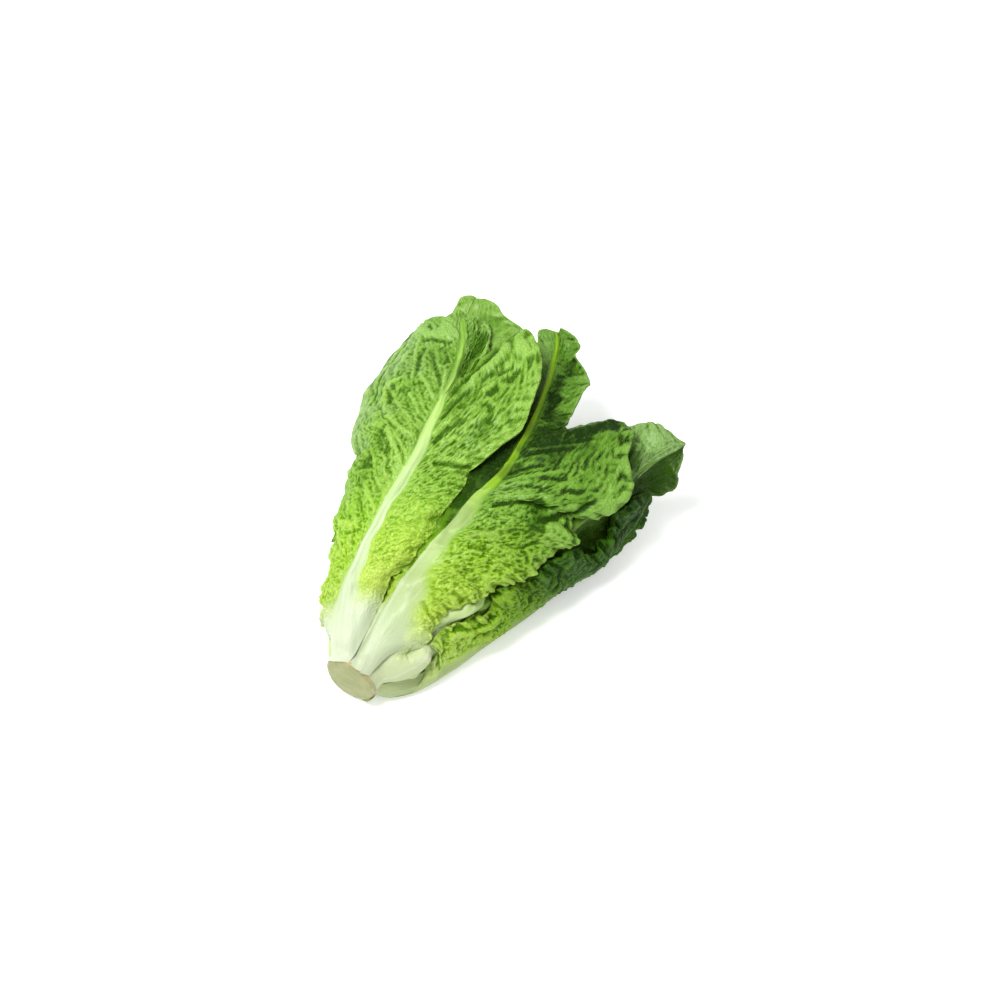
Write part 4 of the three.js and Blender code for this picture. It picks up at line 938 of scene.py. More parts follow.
upperMiddle = {
    "name": "leaf_upper_middle", "slot": "leaf_outer", "rows": 352, "columns": 165, "seed": 2,
    "fold": 1.5, "veins": 10, "waves": 9, "ruffle": [1, 2, 2.5, 2.5, 2, 2, 2],
    "ribHalf": [10, 13, 12, 10, 8.5, 7, 5, 3.5, 2.4, 1.5, 0.8],
    "ribHigh": [2.6, 4.4, 4.5, 4, 3.5, 3, 2.4, 1.8, 1.2, 0.7, 0.4],
    "bulgeLeft": [6, 9, 8, 3, 0, 0, -1, -1, -1, 0],
    "bulgeRight": [2, 4, 6, 8, 8, 7, 4, -4, -6, -2],
    "rib": [
      [8.5, 5, 38], [5, 33, 51], [4.5, 58, 62], [6.5, 82, 72.5], [11.5, 107, 81], [14.5, 134, 85],
      [19.5, 161, 86.5], [17, 190, 87], [9.5, 223, 85], [-4, 264, 80], [-14, 280, 78],
    ],
    "left": [
      [0, -4, 5, 39], [0.1, -9, 30, 46], [0.2, -12.5, 53, 54.5], [0.3, -10, 74, 64],
      [0.4, -8.5, 95.5, 73], [0.5, -6.5, 124, 78], [0.6, -7.5, 154, 80.5], [0.7, -10, 190, 80],
      [0.8, -17, 224, 75], [0.88, -16, 248, 76], [0.93, -18, 262, 77], [0.97, -23, 272, 78],
      [1, -15, 281, 78],
    ],
    "right": [
      [0, 13.5, 6, 35], [0.03, 17, 16.5, 40], [0.06, 21.5, 24.5, 42.5], [0.09, 28, 30.5, 42],
      [0.12, 34.5, 39, 41.5], [0.18, 36, 52, 49], [0.24, 41.5, 69, 55], [0.3, 54.5, 88, 56],
      [0.34, 62.5, 103, 57.5], [0.38, 68.5, 113.5, 56.5], [0.42, 73, 129, 59],
      [0.45, 77.5, 142.5, 60.5], [0.475, 82, 150, 61], [0.49, 75, 156, 65], [0.505, 72, 163, 69],
      [0.52, 86, 168, 72], [0.535, 94, 177, 73], [0.55, 98, 187, 75], [0.565, 96, 200, 77],
      [0.58, 89, 208, 79], [0.595, 81, 217, 82], [0.61, 77, 231, 84], [0.625, 71, 236, 84],
      [0.64, 61, 236, 85], [0.655, 53, 229, 85], [0.67, 45, 220, 83], [0.685, 38, 212, 82],
      [0.7, 34, 209, 83], [0.74, 36, 213, 87], [0.78, 34, 225, 88], [0.82, 32, 242, 89],
      [0.84, 32, 248, 89], [0.87, 21, 258, 87], [0.89, 10, 265, 84], [0.92, 8, 274, 83],
      [0.95, -2, 280, 81], [0.975, -10, 282, 79], [1, -15, 281, 78],
    ],
    "sideVeins": 24, "sweep": 0.22, "veinHigh": 0.7, "blisterSize": 6.5, "rim": 19.3,
    "ribShareLeft": [1, 0.7, 0.45, 0.5, 0.9, 1.2], "ribShareRight": [1.5, 1.45, 1.2, 0.9, 1.1, 1.2],
    "netShareLeft": [0, 0, 0, 0.1, 0.3, 0.4, 0.6], "netShareRight": [1, 1, 0.8, 0.5, 0.5, 0.5],
    "foldsLeft": [0, 0.1, 0.2, 0.6, 1.2, 1.8, 1.4], "foldsRight": [0, 0.5, 1.4, 2, 2, 1.6, 1.2],
    # painted shade below zero where this blade lies in the upper-left leaf's shadow, painted light above zero
    "tintRight": [0.1, 0.3, 0.3, 0, -0.1, 0, 0.3],
    "tintLeft": [0.2, 0.2, 0.1, 0, -0.5, -0.9, -1.1, -0.9, 0, 0.6],
    "blisterLeft": [0, 0.1, 0.1, 0.1, 0.1, 0.1, 0.1], "blisterRight": [0, 0.6, 0.8, 0.5, 0.2, 0.1, 0.1, 0.1],
    "crinkleLeft": [0, 0, 0, 0.1, 0.3, 0.3, 0.2], "crinkleRight": [0, 1, 1.7, 1.4, 0.6, 0.4, 0.35, 0.25],
    "frill": [0, 1, 2.2, 1.2, 0.5, 0.5, 0.5], "teeth": [0, 1.2, 3.2, 1.6, 0.3, 0.4, 0.5],
    "bladeTones": [
        (0, (228, 234, 224)), (0.1, (224, 236, 212)), (0.17, (190, 222, 96)), (0.36, (156, 212, 12)),
        (0.5, (108, 162, 44)), (1, (92, 144, 40)),
    ],
    # deepTones run nearly black toward the tip for the painted shadow next to the upper-left leaf
    "deepTones": [
        (0, (206, 212, 156)), (0.1, (188, 204, 124)), (0.2, (146, 186, 24)), (0.33, (104, 150, 8)),
        (0.48, (44, 86, 8)), (0.6, (26, 58, 6)), (1, (26, 58, 4)),
    ],
    "paleTones": [
        (0, (236, 244, 214)), (0.1, (230, 244, 190)), (0.2, (216, 246, 118)), (0.5, (156, 204, 108)),
        (1, (146, 194, 110)),
    ],
    "veinTones": [(0, (228, 238, 196)), (0.4, (176, 222, 96)), (1, (142, 192, 92))],
    "ribTones": [
        (0, (226, 234, 228)), (0.12, (212, 226, 208)), (0.25, (200, 218, 180)), (0.42, (204, 228, 172)),
        (0.55, (168, 212, 66)), (0.7, (160, 208, 40)), (1, (152, 198, 50)),
    ],
    "tuckLeft": [1.5, 1.5, 1, 0, 0], "tuckRight": [2.2, 3, 2, 0.4, 0, 0, 0],
    # strokes: path, width, relief height, then painted shade below zero or painted light above zero; those
    # with no height are painted shade or light only
    "strokes": [
        ([(0.475, 0.17), (0.49, 0.26), (0.5, 0.4), (0.505, 0.53), (0.505, 0.68),
          (0.52, 0.68)], 1.5, -1.8, -0.9),
        ([(0.495, 0.16), (0.51, 0.3), (0.53, 0.41), (0.53, 0.57)], 2.4, 1.2, 0.35),
        ([(0.48, 0.59), (0.49, 0.76), (0.505, 0.9), (0.52, 0.84), (0.535, 0.8),
          (0.55, 0.81)], 1.9, -2.2, -1.2),
        ([(0.5, 0.71), (0.505, 0.81), (0.525, 0.73), (0.535, 0.74)], 1.4, 1.1, 0.5),
        ([(0.545, 0.52), (0.55, 0.56), (0.55, 0.64), (0.555, 0.68)], 1.6, -1.2, -0.6),
        ([(0.565, 0.33), (0.565, 0.44), (0.565, 0.53)], 1.8, -1.2, -0.25),
        ([(0.605, 0.96), (0.595, 0.99), (0.58, 0.98), (0.565, 0.98), (0.55, 0.96), (0.54, 0.96),
          (0.53, 0.95)], 2.4, 0.6, 0.75),
        ([(0.53, 0.84), (0.54, 0.89), (0.55, 0.93)], 5.5, 1, 0.5),
        ([(0.59, -0.22), (0.61, 0.03), (0.615, 0.19), (0.6, 0.38)], 1.4, 0.8, 0.2),
        ([(0.55, 0.08), (0.565, 0.19), (0.575, 0.35), (0.58, 0.53)], 1.4, 0.8, 0.2),
        ([(0.645, 0.1), (0.625, 0.29), (0.615, 0.49), (0.61, 0.71)], 1.4, 0.7, 0.15),
        ([(0.575, 0.06), (0.59, 0.19), (0.59, 0.36)], 1.6, -1, -0.2),
        ([(0.525, 0.13), (0.545, 0.26), (0.55, 0.39)], 1.6, -1, -0.2),
        ([(0.61, 0.1), (0.62, 0.26), (0.61, 0.47)], 1.6, -0.9, -0.15),
        ([(0.63, 0.53), (0.635, 0.7), (0.635, 0.84), (0.625, 0.93)], 4.5, -1, -1.1),
        ([(0.375, 0.2), (0.4, 0.26), (0.415, 0.36), (0.42, 0.47)], 1.8, 1.6, 0.9),
        ([(0.36, 0.29), (0.37, 0.39), (0.385, 0.45)], 3, -1.5, -0.4),
        ([(0.45, 0.77), (0.445, 0.89), (0.45, 0.95), (0.465, 0.93), (0.465, 0.98)], 1.6, 0.8, 0.9),
        ([(0.475, 0.68), (0.475, 0.78), (0.485, 0.89)], 6, 1.4, 0.6),
        ([(0.505, 0.95), (0.485, 0.96), (0.47, 0.96)], 1.8, -1.4, -0.8),
        ([(0.41, 0.51), (0.41, 0.66), (0.43, 0.74), (0.445, 0.78)], 1.4, -1.4, -0.6),
        ([(0.415, 0.7), (0.405, 0.84), (0.385, 0.9)], 1.3, -1.1, -0.5),
        ([(0.34, 0.33), (0.355, 0.39), (0.365, 0.47)], 1.4, 1, 0.6),
        ([(0.255, 0.67), (0.255, 0.87), (0.25, 0.98)], 1.6, -1.3, -0.6),
        ([(0.205, 0.43), (0.19, 0.68), (0.19, 0.92)], 1.6, -1.4, -0.7),
        ([(0.1, 0.64), (0.13, 0.64), (0.155, 0.78)], 2.4, 1.2, 0.4),
        ([(0.74, 0.49), (0.64, 0.47), (0.625, 0.57), (0.62, 0.68)], 8, 0, -0.9),
        ([(0.625, 0.08), (0.64, 0.17), (0.635, 0.3), (0.62, 0.49)], 7, 0, -0.8),
        ([(0.89, 0.77), (0.855, 0.33)], 5, 0, -0.8),
        ([(0.635, 0.36), (0.735, 0.8), (0.78, 0.77)], 7, 0, -0.8),
        ([(0.305, 0.2), (0.365, 0.13), (0.42, 0.07), (0.475, 0.01)], 5, 0, -0.4),
        ([(0.55, 0.08), (0.585, 0.1), (0.6, 0.17)], 6, 0, -0.6),
        ([(0.415, 0.55), (0.455, 0.57), (0.49, 0.64), (0.525, 0.53)], 6, 0, -0.6),
        ([(0.415, 0.23), (0.375, 0.39), (0.34, 0.41)], 5, 0, -0.4),
        ([(0.535, 0.63), (0.535, 0.71), (0.545, 0.74)], 4, 0, -0.4),
        ([(0.94, -0.71), (0.9, -0.47), (0.865, -0.31)], 5, 0, 1),
        ([(0.875, 1), (0.85, 0.93), (0.805, 1)], 5, 0, 0.6),
        ([(0.86, 0.27), (0.825, 0.23), (0.795, 0.35)], 4.5, 0, -1),
        ([(0.6, 0.81), (0.595, 0.87), (0.58, 0.84)], 6, 0, 0.5),
        ([(0.565, 0.81), (0.555, 0.89), (0.565, 0.89)], 6, 0, 0.4),
        ([(0.525, 0.86), (0.52, 0.87)], 4, 0, 0.4),
        ([(0.455, -0.84), (0.47, -0.49)], 4, 0, 0.2),
        ([(0.23, 0.17), (0.24, 0.59), (0.21, 0.49)], 6, 0, -0.3),
        ([(0.125, 0.45), (0.155, 0.52)], 4, 0, -0.4),
        ([(0.645, 0.86), (0.64, 0.95), (0.63, 0.98)], 4, 0, -2.5),
        ([(0.46, -0.38), (0.515, -0.49), (0.56, -0.53)], 4, 0, -1),
        ([(0.625, 0.21), (0.6, 0.36), (0.59, 0.48)], 8, 0, -0.5),
        ([(0.33, 0.43), (0.35, 0.51), (0.37, 0.56)], 9, 0, -0.4),
        ([(0.455, 0.57), (0.485, 0.6), (0.53, 0.56)], 6, 0, -0.4),
        ([(0.33, 0.08), (0.385, 0.03), (0.45, -0.18)], 4, 0, -0.6),
        ([(0.58, 0.74), (0.57, 0.78), (0.555, 0.83)], 8, 0, 0.4),
        ([(0.515, 0.18), (0.53, 0.23), (0.545, 0.31)], 5, 0, 0.5),
        ([(0.74, 0.39), (0.79, 0.3), (0.82, 0.27)], 5, 0, -1),
    ],
}
growLeaf(upperMiddle)


lowerRight = {
    "name": "leaf_lower_right", "slot": "leaf_dark", "rows": 290, "columns": 121, "seed": 4,
    "fold": 1.2, "veins": 9, "waves": 11, "ruffle": [1, 2, 2, 2, 2.5, 2],
    "ribHalf": [9, 11, 9, 7, 5, 4, 3, 2, 1.5, 1],
    "ribHigh": [2.6, 3.5, 3.5, 3, 2.4, 1.8, 1.4, 1, 0.7, 0.4],
    "bulgeLeft": [3, 4, 5, 6, 6, 6, 5, 4, 3, 1],
    "bulgeRight": [1, 2, 3, 3, 3, 3, 2, 1, 0],
    "rib": [
      [14, 5, 10], [32, 27, 6], [45, 55, 7], [55, 84, 8], [66, 112, 10], [76, 140, 13],
      [88, 162, 17], [93, 184, 22], [97, 204, 30], [101, 218, 53],
    ],
    "left": [
      [0, 18, 5, 23], [0.08, 34, 31, 16.5], [0.11, 37, 35.5, 24], [0.15, 42.5, 44, 30],
      [0.2, 37.5, 48, 42.5], [0.27, 44, 63, 45.5], [0.34, 52, 75.5, 44], [0.4, 58, 87, 44],
      [0.44, 57.5, 94.5, 51.5], [0.5, 63.5, 108, 52], [0.56, 68.5, 119, 51.5], [0.6, 72, 131, 52.5],
      [0.65, 78, 148.5, 52], [0.69, 84, 156, 41], [0.72, 87.5, 163, 36], [0.75, 88.5, 170, 36.5],
      [0.79, 90, 174, 42], [0.85, 88, 188, 46], [0.91, 91.5, 199.5, 55], [0.96, 96.5, 211.5, 55.5],
      [1, 101, 218, 53],
    ],
    "right": [
      [0, 5, 5, 4], [0.1, 21, 17, 1], [0.2, 32, 43, 1], [0.3, 39, 68, 1], [0.4, 49, 97, 2],
      [0.5, 59, 125, 3], [0.6, 70, 151, 5], [0.7, 83, 176, 8], [0.8, 93, 197, 14],
      [0.9, 97, 212, 27], [1, 101, 218, 53],
    ],
    "sheen": 0.4, "sideVeins": 22, "sweep": 0.25, "veinHigh": 0.7, "blisterSize": 6.5, "rim": 19.2,
    "blister": [0, 0.9, 1.1, 1.1, 1, 0.9, 0.8], "crinkle": [0, 1, 1.6, 1.5, 1, 0.6, 0.4],
    "folds": [0, 1, 2, 2.6, 2.6, 2],
    "frill": [0, 2, 2.5, 2.5, 2.5, 2, 1.5], "teeth": [0, 3, 4, 5, 4, 3, 1.5],
    # dark tones toward the tip: partly the leaf's own darker green, partly painted shade on the side turned
    # away from the light
    "bladeTones": [
        (0, (220, 232, 200)), (0.1, (212, 232, 160)), (0.2, (196, 236, 66)), (0.42, (146, 202, 30)),
        (0.58, (50, 98, 0)), (1, (30, 68, 2)),
    ],
    "deepTones": [(0, (180, 205, 135)), (0.25, (96, 150, 28)), (0.6, (34, 72, 18)), (1, (22, 52, 22))],
    "paleTones": [(0, (232, 242, 204)), (0.3, (190, 226, 104)), (0.6, (76, 130, 16)), (1, (56, 102, 16))],
    "veinTones": [(0, (226, 236, 198)), (0.4, (160, 200, 104)), (1, (84, 130, 50))],
    "ribTones": [(0, (204, 216, 186)), (0.3, (184, 204, 156)), (0.6, (112, 148, 80)), (1, (84, 120, 68))],
    "tuckLeft": [2, 2.6, 1.6, 0, 0, 0], "tuckRight": [1, 1, 0, 0],
    # strokes: path, width, relief height, then painted shade below zero or painted light above zero; those
    # with no height are painted shade or light only
    "strokes": [
        ([(0.23, -0.97), (0.265, -0.91), (0.31, -0.77), (0.365, -0.89), (0.41, -0.83)], 1.8, -2.2, -1.1),
        ([(0.23, -0.85), (0.265, -0.83), (0.32, -0.73), (0.36, -0.81)], 2.4, 1.4, 0.5),
        ([(0.275, -0.63), (0.31, -0.61), (0.355, -0.67), (0.405, -0.61)], 1.8, -1.8, -0.8),
        ([(0.385, -1), (0.38, -0.91), (0.38, -0.83)], 1.8, -1.6, -1),
        ([(0.44, -0.87), (0.47, -0.91), (0.51, -0.93)], 2.2, 1.4, 0.6),
        ([(0.445, -0.52), (0.485, -0.57), (0.545, -0.73)], 2, -1.6, -0.7),
        ([(0.545, -0.56), (0.59, -0.59), (0.62, -0.81)], 2.2, -1.8, -0.7),
        ([(0.6, -0.61), (0.63, -0.81), (0.65, -0.73)], 1.8, 1.2, 0.4),
        ([(0.16, -0.61), (0.215, -0.52), (0.245, -0.43)], 2, 1.2, 0.5),
        ([(0.13, -0.81), (0.17, -0.79), (0.215, -0.63)], 1.6, -1.6, -0.6),
        ([(0.755, -0.85), (0.825, -0.95), (0.89, -0.85), (0.935, -0.56)], 2, 1.2, 0.6),
        ([(0.795, -0.87), (0.85, -0.43), (0.915, -0.31)], 2.2, -1.6, -0.6),
        ([(0.28, -0.05), (0.305, -0.29), (0.365, -0.39)], 3, 0.8, 0.6),
        ([(0.325, -0.97), (0.39, -1), (0.43, -0.99)], 8, 0, 0.9),
        ([(0.215, -0.15), (0.275, -0.18), (0.335, -0.52)], 6, 0, 0.6),
        ([(0.75, 0.28), (0.82, 0.38), (0.89, 0.69)], 6, 0, 0.7),
    ],
}
growLeaf(lowerRight)


underside = {
    **defaultRib,
    "name": "leaf_underside", "slot": "leaf_dark", "rows": 200, "columns": 109, "seed": 3, "ruffle": 2,
    "angle": [-98, -98, -99, -100], "along": [5.4, 60, 130, 200, 262],
    "spreadLeft": [46, 50, 50, 50, 46, 38, 28], "spreadRight": [40, 54, 60, 62, 58, 44, 30],
    "reach": [0.93, 0.96, 1, 1, 1, 0.95],
    "sideVeins": 20, "sweep": 0.25, "veinHigh": 0.7, "rim": 19.1, "blister": [0.1, 0.6, 1, 1, 1, 0.8],
    "crinkle": [0, 0.4, 0.8, 0.8, 0.4, 0], "frill": [0, 1.5, 2, 2, 1.5], "teeth": [0, 2, 2.5, 2, 1.5],
    "bladeTones": [(0, (206, 222, 172)), (0.3, (150, 192, 88)), (0.6, (90, 140, 52)), (1, (70, 116, 48))],
    "deepTones": [(0, (182, 204, 140)), (0.3, (100, 150, 40)), (0.6, (52, 96, 26)), (1, (40, 78, 26))],
    "paleTones": [(0, (226, 236, 200)), (0.3, (184, 216, 120)), (0.6, (130, 176, 90)), (1, (118, 164, 92))],
    "veinTones": [(0, (226, 236, 200)), (0.5, (168, 208, 118)), (1, (124, 168, 92))],
    "ribTones": [(0, (222, 232, 202)), (0.4, (206, 226, 170)), (0.7, (150, 192, 106)), (1, (116, 160, 84))],
}
growLeaf(underside)


lowerLeft = {
    **defaultRib,
    "name": "leaf_lower_left", "slot": "leaf_outer", "rows": 200, "columns": 109, "seed": 6, "ruffle": 2,
    "angle": [-150, -150, -148, -148], "along": [5.6, 60, 130, 200, 256],
    "spreadLeft": [40, 55, 62, 66, 60, 45, 30], "spreadRight": [40, 50, 60, 62, 60, 45, 30],
    "reach": [0.92, 0.95, 1, 1, 1, 0.93],
    "sideVeins": 20, "sweep": 0.25, "veinHigh": 0.7, "rim": 19.1, "blister": [0.1, 0.8, 1.2, 1.2, 1, 0.8],
    "crinkle": [0, 0.6, 1, 0.8, 0.4, 0], "frill": [0, 2, 2.5, 2, 1.5], "teeth": [0, 3, 3, 2, 1.5],
    "bladeTones": [(0, (206, 224, 170)), (0.3, (158, 204, 80)), (0.6, (104, 158, 52)), (1, (86, 138, 50))],
    "deepTones": [(0, (182, 206, 136)), (0.3, (108, 164, 34)), (0.6, (62, 112, 24)), (1, (50, 94, 24))],
    "paleTones": [(0, (228, 238, 200)), (0.3, (196, 226, 120)), (0.6, (146, 194, 94)), (1, (132, 182, 96))],
    "veinTones": [(0, (228, 238, 200)), (0.5, (180, 218, 116)), (1, (140, 188, 96))],
    "ribTones": [(0, (222, 232, 200)), (0.4, (208, 230, 170)), (0.7, (166, 208, 106)), (1, (130, 180, 84))],
}
growLeaf(lowerLeft)


rightLeaf = {
    "name": "leaf_right", "slot": "leaf_outer", "rows": 250, "columns": 129, "seed": 7,
    "fold": 1.2, "veins": 9, "waves": 9, "ruffle": 2,
    "ribHalf": [7, 9, 8, 6.5, 5.5, 4.5, 3.5, 2.6, 1.8, 1],
    "ribHigh": [1.6, 2.2, 2.4, 2.4, 2.1, 1.8, 1.4, 1, 0.7, 0.4],
    "bulgeLeft": [2, 3, 4, 4, 3, 2, 2, 4, 6, 2],
    "bulgeRight": [2, 2, 2, 0, -3, -5, -6, -6, -5, 0],
    "rib": [
      [17, 8, 25], [31, 25.5, 32], [39.5, 45, 38], [45.5, 69.5, 49.5], [57, 95, 53.5],
      [67.5, 130.5, 58.5], [77, 167, 62.5], [85, 198, 64], [91, 224, 66], [107, 257, 68],
    ],
    "left": [
      [0, 8, 8, 34], [0.1, 17.5, 26, 43], [0.2, 19, 46, 50.5], [0.3, 21, 70, 60.5],
      [0.4, 27.5, 96, 69], [0.5, 38.5, 128.5, 73], [0.6, 48, 169, 77], [0.7, 56, 205, 78],
      [0.76, 63, 226, 79], [0.8, 70, 239, 79], [0.86, 74, 245, 79], [0.9, 80, 249, 79],
      [0.94, 89, 252, 76], [0.97, 99, 252, 72], [1, 104, 252, 68],
    ],
    "right": [
      [0, 19, 8, 7], [0.1, 41, 31, 5], [0.2, 50, 55, 10], [0.3, 54, 82, 18], [0.4, 63, 109, 24],
      [0.5, 73, 137, 24], [0.6, 85, 163, 24], [0.7, 93, 188, 29], [0.78, 101, 204, 39.5],
      [0.83, 103.5, 218, 39.5], [0.88, 106, 232, 39.5], [0.93, 110, 235, 58], [0.97, 108, 244, 63],
      [1, 104, 252, 68],
    ],
    "start": 7.4, "rim": 18.9, "tuck": [1, 1, 0.5, 0], "netShare": 0.35, "sideVeins": 20, "sweep": 0.25,
    "veinHigh": 0.7, "blisterSize": 6.5,
    "blister": [0, 0.4, 0.5, 0.5, 0.6, 0.6, 0.6], "crinkle": [0, 0.3, 0.3, 0.3, 0.2, 0, 0],
    # painted light above zero on the left half, strongest at the base and the upturned tip; painted shade
    # below zero on the right half turned down
    "folds": [0, 1, 1.5, 2, 2, 1.6], "tintLeft": [0.6, 0.6, 0.3, 0, 0, 0.5, 0.7],
    "tintRight": [0, 0, 0, -0.3, -0.4, -0.5, -0.5],
    "frill": [0, 1, 1.5, 1.5, 1, 0.8, 0.6], "teeth": [0, 1, 2, 2, 1.2, 1, 0.8],
    "bladeTones": [(0, (212, 226, 184)), (0.25, (120, 168, 60)), (0.6, (66, 104, 18)), (1, (56, 92, 10))],
    "deepTones": [(0, (204, 218, 160)), (0.25, (82, 128, 18)), (0.6, (44, 80, 0)), (1, (50, 90, 0))],
    "paleTones": [(0, (224, 234, 194)), (0.3, (160, 200, 104)), (0.6, (132, 178, 100)), (1, (166, 208, 142))],
    "veinTones": [(0, (224, 234, 194)), (0.4, (150, 192, 98)), (1, (126, 170, 92))],
    "ribTones": [
        (0, (222, 230, 212)), (0.2, (226, 236, 212)), (0.4, (186, 214, 150)), (0.6, (110, 150, 60)),
        (1, (110, 152, 70)),
    ],
    # strokes: path, width, relief height, then painted shade below zero or painted light above zero; those
    # with no height are painted shade or light only
    "strokes": [
        ([(0.355, 0), (0.38, 0.16), (0.405, 0.32)], 8, 0, 1.2),
        ([(0.305, 0.17), (0.34, 0.02)], 5, 0, 0.8),
        ([(0.795, -0.6), (0.81, -0.36), (0.865, -0.08)], 6, 0, -1),
        ([(0.845, 0.17), (0.885, 0.07), (0.92, -0.04), (0.945, -0.06), (0.975, -0.07)], 1.4, 0.8, 1.2),
        ([(0.845, -0.67), (0.9, -0.65), (0.945, -0.53)], 8, 0, 0.9),
        ([(0.795, -0.99), (0.815, -0.93), (0.85, -0.8)], 6, 0, 1),
        ([(0.865, 0.53), (0.905, 0.53), (0.94, 0.65)], 8, 0, -0.6),
        ([(0.645, 0.33), (0.63, 0.65), (0.63, 0.84)], 7, 0, -1.2),
        ([(0.215, 0.16), (0.17, -0.03), (0.115, -0.1)], 3, 0.8, 0.9),
    ],
}
growLeaf(rightLeaf)


backLeft = {
    "name": "leaf_back_left", "slot": "leaf_pale", "rows": 220, "columns": 109, "seed": 8,
    "fold": 0.8, "veins": 8, "waves": 7, "ruffle": [0.5, 1, 1.5, 1.5, 1.5, 1],
    "ribHalf": [6, 8, 7, 6, 5, 4, 3, 2.2, 1.6, 1],
    "ribHigh": [1.5, 2.4, 2.4, 2.2, 2, 1.6, 1.2, 0.9, 0.6, 0.4],
    "bulgeLeft": [1, 2, 3, 3, 3, 3, 2, 1],
    "bulgeRight": [1, 1, 1, 1, 0, 0, -1, 0],
    "rib": [
      [-7, 11, 33], [-21, 45, 46], [-32, 85, 60], [-43, 125, 71], [-52, 165, 79], [-60, 205, 80],
      [-66, 240, 79], [-74, 277, 77],
    ],
    "left": [
      [0, -12, 11, 29], [0.15, -36, 45, 42], [0.3, -62, 90, 48], [0.45, -76, 135, 56],
      [0.6, -86, 175, 62], [0.75, -92, 210, 66], [0.87, -84, 245, 74], [0.92, -82, 258, 76],
      [0.96, -82, 268, 77], [1, -74, 275, 77],
    ],
    "right": [
      [0, -2, 11, 34], [0.15, -6, 45, 46], [0.3, -8, 90, 58], [0.45, -8, 135, 68],
      [0.6, -6, 175, 77], [0.75, -12, 215, 80], [0.84, -35, 250, 82], [0.875, -30, 260, 82],
      [0.905, -33, 267, 82], [0.93, -48, 269, 81], [0.96, -57, 274, 80], [0.98, -65, 275, 79],
      [1, -74, 275, 77],
    ],
    "sideVeins": 20, "sweep": 0.25, "veinHigh": 0.6,
    "blister": [0.1, 0.5, 0.6, 0.6, 0.5, 0.5, 0.5], "frill": [0, 1, 1, 0.8, 0.5, 0.4],
    "teeth": [0, 1, 1, 0.8, 0.6, 0.5],
    "folds": [0, 1, 1.5, 2, 2, 1.6],
    "bladeTones": [(0, (205, 224, 165)), (0.3, (150, 196, 70)), (0.7, (128, 180, 72)), (1, (138, 188, 88))],
    "deepTones": [(0, (180, 205, 125)), (0.3, (100, 152, 30)), (0.7, (86, 140, 34)), (1, (92, 146, 44))],
    "paleTones": [(0, (228, 238, 195)), (0.3, (190, 222, 116)), (0.7, (168, 212, 124)), (1, (180, 220, 142))],
    "veinTones": [(0, (228, 238, 196)), (0.5, (176, 216, 112)), (1, (176, 216, 128))],
    "ribTones": [(0, (222, 232, 196)), (0.4, (196, 226, 140)), (0.8, (168, 210, 110)), (1, (160, 206, 112))],
    # strokes: path, width, relief height, then painted shade below zero or painted light above zero; those
    # with no height are painted shade or light only
    "strokes": [
        ([(0.925, 0.33), (0.915, 0.45), (0.93, 0.74)], 7, 0, -0.7),
        ([(0.92, -0.37), (0.95, -0.13), (0.955, 0.3)], 4, 0.8, 0.5),
    ],
}
growLeaf(backLeft)


leftLeaf = {
    **defaultRib,
    "name": "leaf_left", "slot": "leaf_pale", "rows": 112, "columns": 57, "seed": 5, "ruffle": 2.5,
    "angle": [172, 172, 170, 168], "along": [12, 60, 130, 200, 250],
    "spreadLeft": [30, 45, 55, 58, 52, 40, 30], "spreadRight": [30, 40, 50, 55, 52, 40, 30],
    "reach": [0.78, 0.88, 0.93, 0.93, 0.93, 0.88],
    "sideVeins": 16, "sweep": 0.22, "veinHigh": 0.5, "blister": [0.1, 0.4, 0.6, 0.7, 0.7],
    "frill": [0, 1, 1.2, 1.2, 1],
    "teeth": 1, "bladeTones": innerTones["blade"], "deepTones": innerTones["deep"],
    "paleTones": innerTones["pale"],
    "veinTones": innerTones["vein"], "ribTones": innerTones["rib"],
}
growLeaf(leftLeaf)


innerRight = {
    **defaultRib,
    "name": "leaf_inner_right", "slot": "leaf_pale", "rows": 112, "columns": 57, "seed": 9, "ruffle": 2,
    "angle": [-40, -40, -42, -44], "along": [14, 60, 130, 190, 240],
    "spreadLeft": [40, 50, 55, 55, 50, 40, 30], "spreadRight": [40, 50, 55, 55, 50, 40, 30],
    "reach": [0.68, 0.82, 0.86, 0.86, 0.84, 0.8],
    "sideVeins": 16, "sweep": 0.22, "veinHigh": 0.5, "blister": [0.1, 0.4, 0.6, 0.7, 0.7],
    "frill": [0, 1, 1.2, 1.2, 1],
    "teeth": 1, "bladeTones": innerTones["blade"], "deepTones": innerTones["deep"],
    "paleTones": innerTones["pale"],
    "veinTones": innerTones["vein"], "ribTones": innerTones["rib"],
}
growLeaf(innerRight)


innerUnder = {
    **defaultRib,
    "name": "leaf_inner_under", "slot": "leaf_heart", "rows": 90, "columns": 49, "seed": 10, "ruffle": 1.6,
    "angle": [-120, -120, -122], "along": [18, 60, 130, 190, 236],
    "spreadLeft": [40, 55, 60, 60, 52, 40, 30], "spreadRight": [40, 55, 60, 60, 52, 40, 30],
    "reach": [0.55, 0.66, 0.7, 0.7, 0.68, 0.6],
    "sideVeins": 16, "sweep": 0.22, "veinHigh": 0.5, "blister": [0.1, 0.4, 0.6, 0.7, 0.7],
    "frill": [0, 1, 1.2, 1.2, 1],
    "teeth": 1, "bladeTones": heartTones["blade"], "deepTones": heartTones["deep"],
    "paleTones": heartTones["pale"],
    "veinTones": heartTones["vein"], "ribTones": heartTones["rib"],
}
growLeaf(innerUnder)


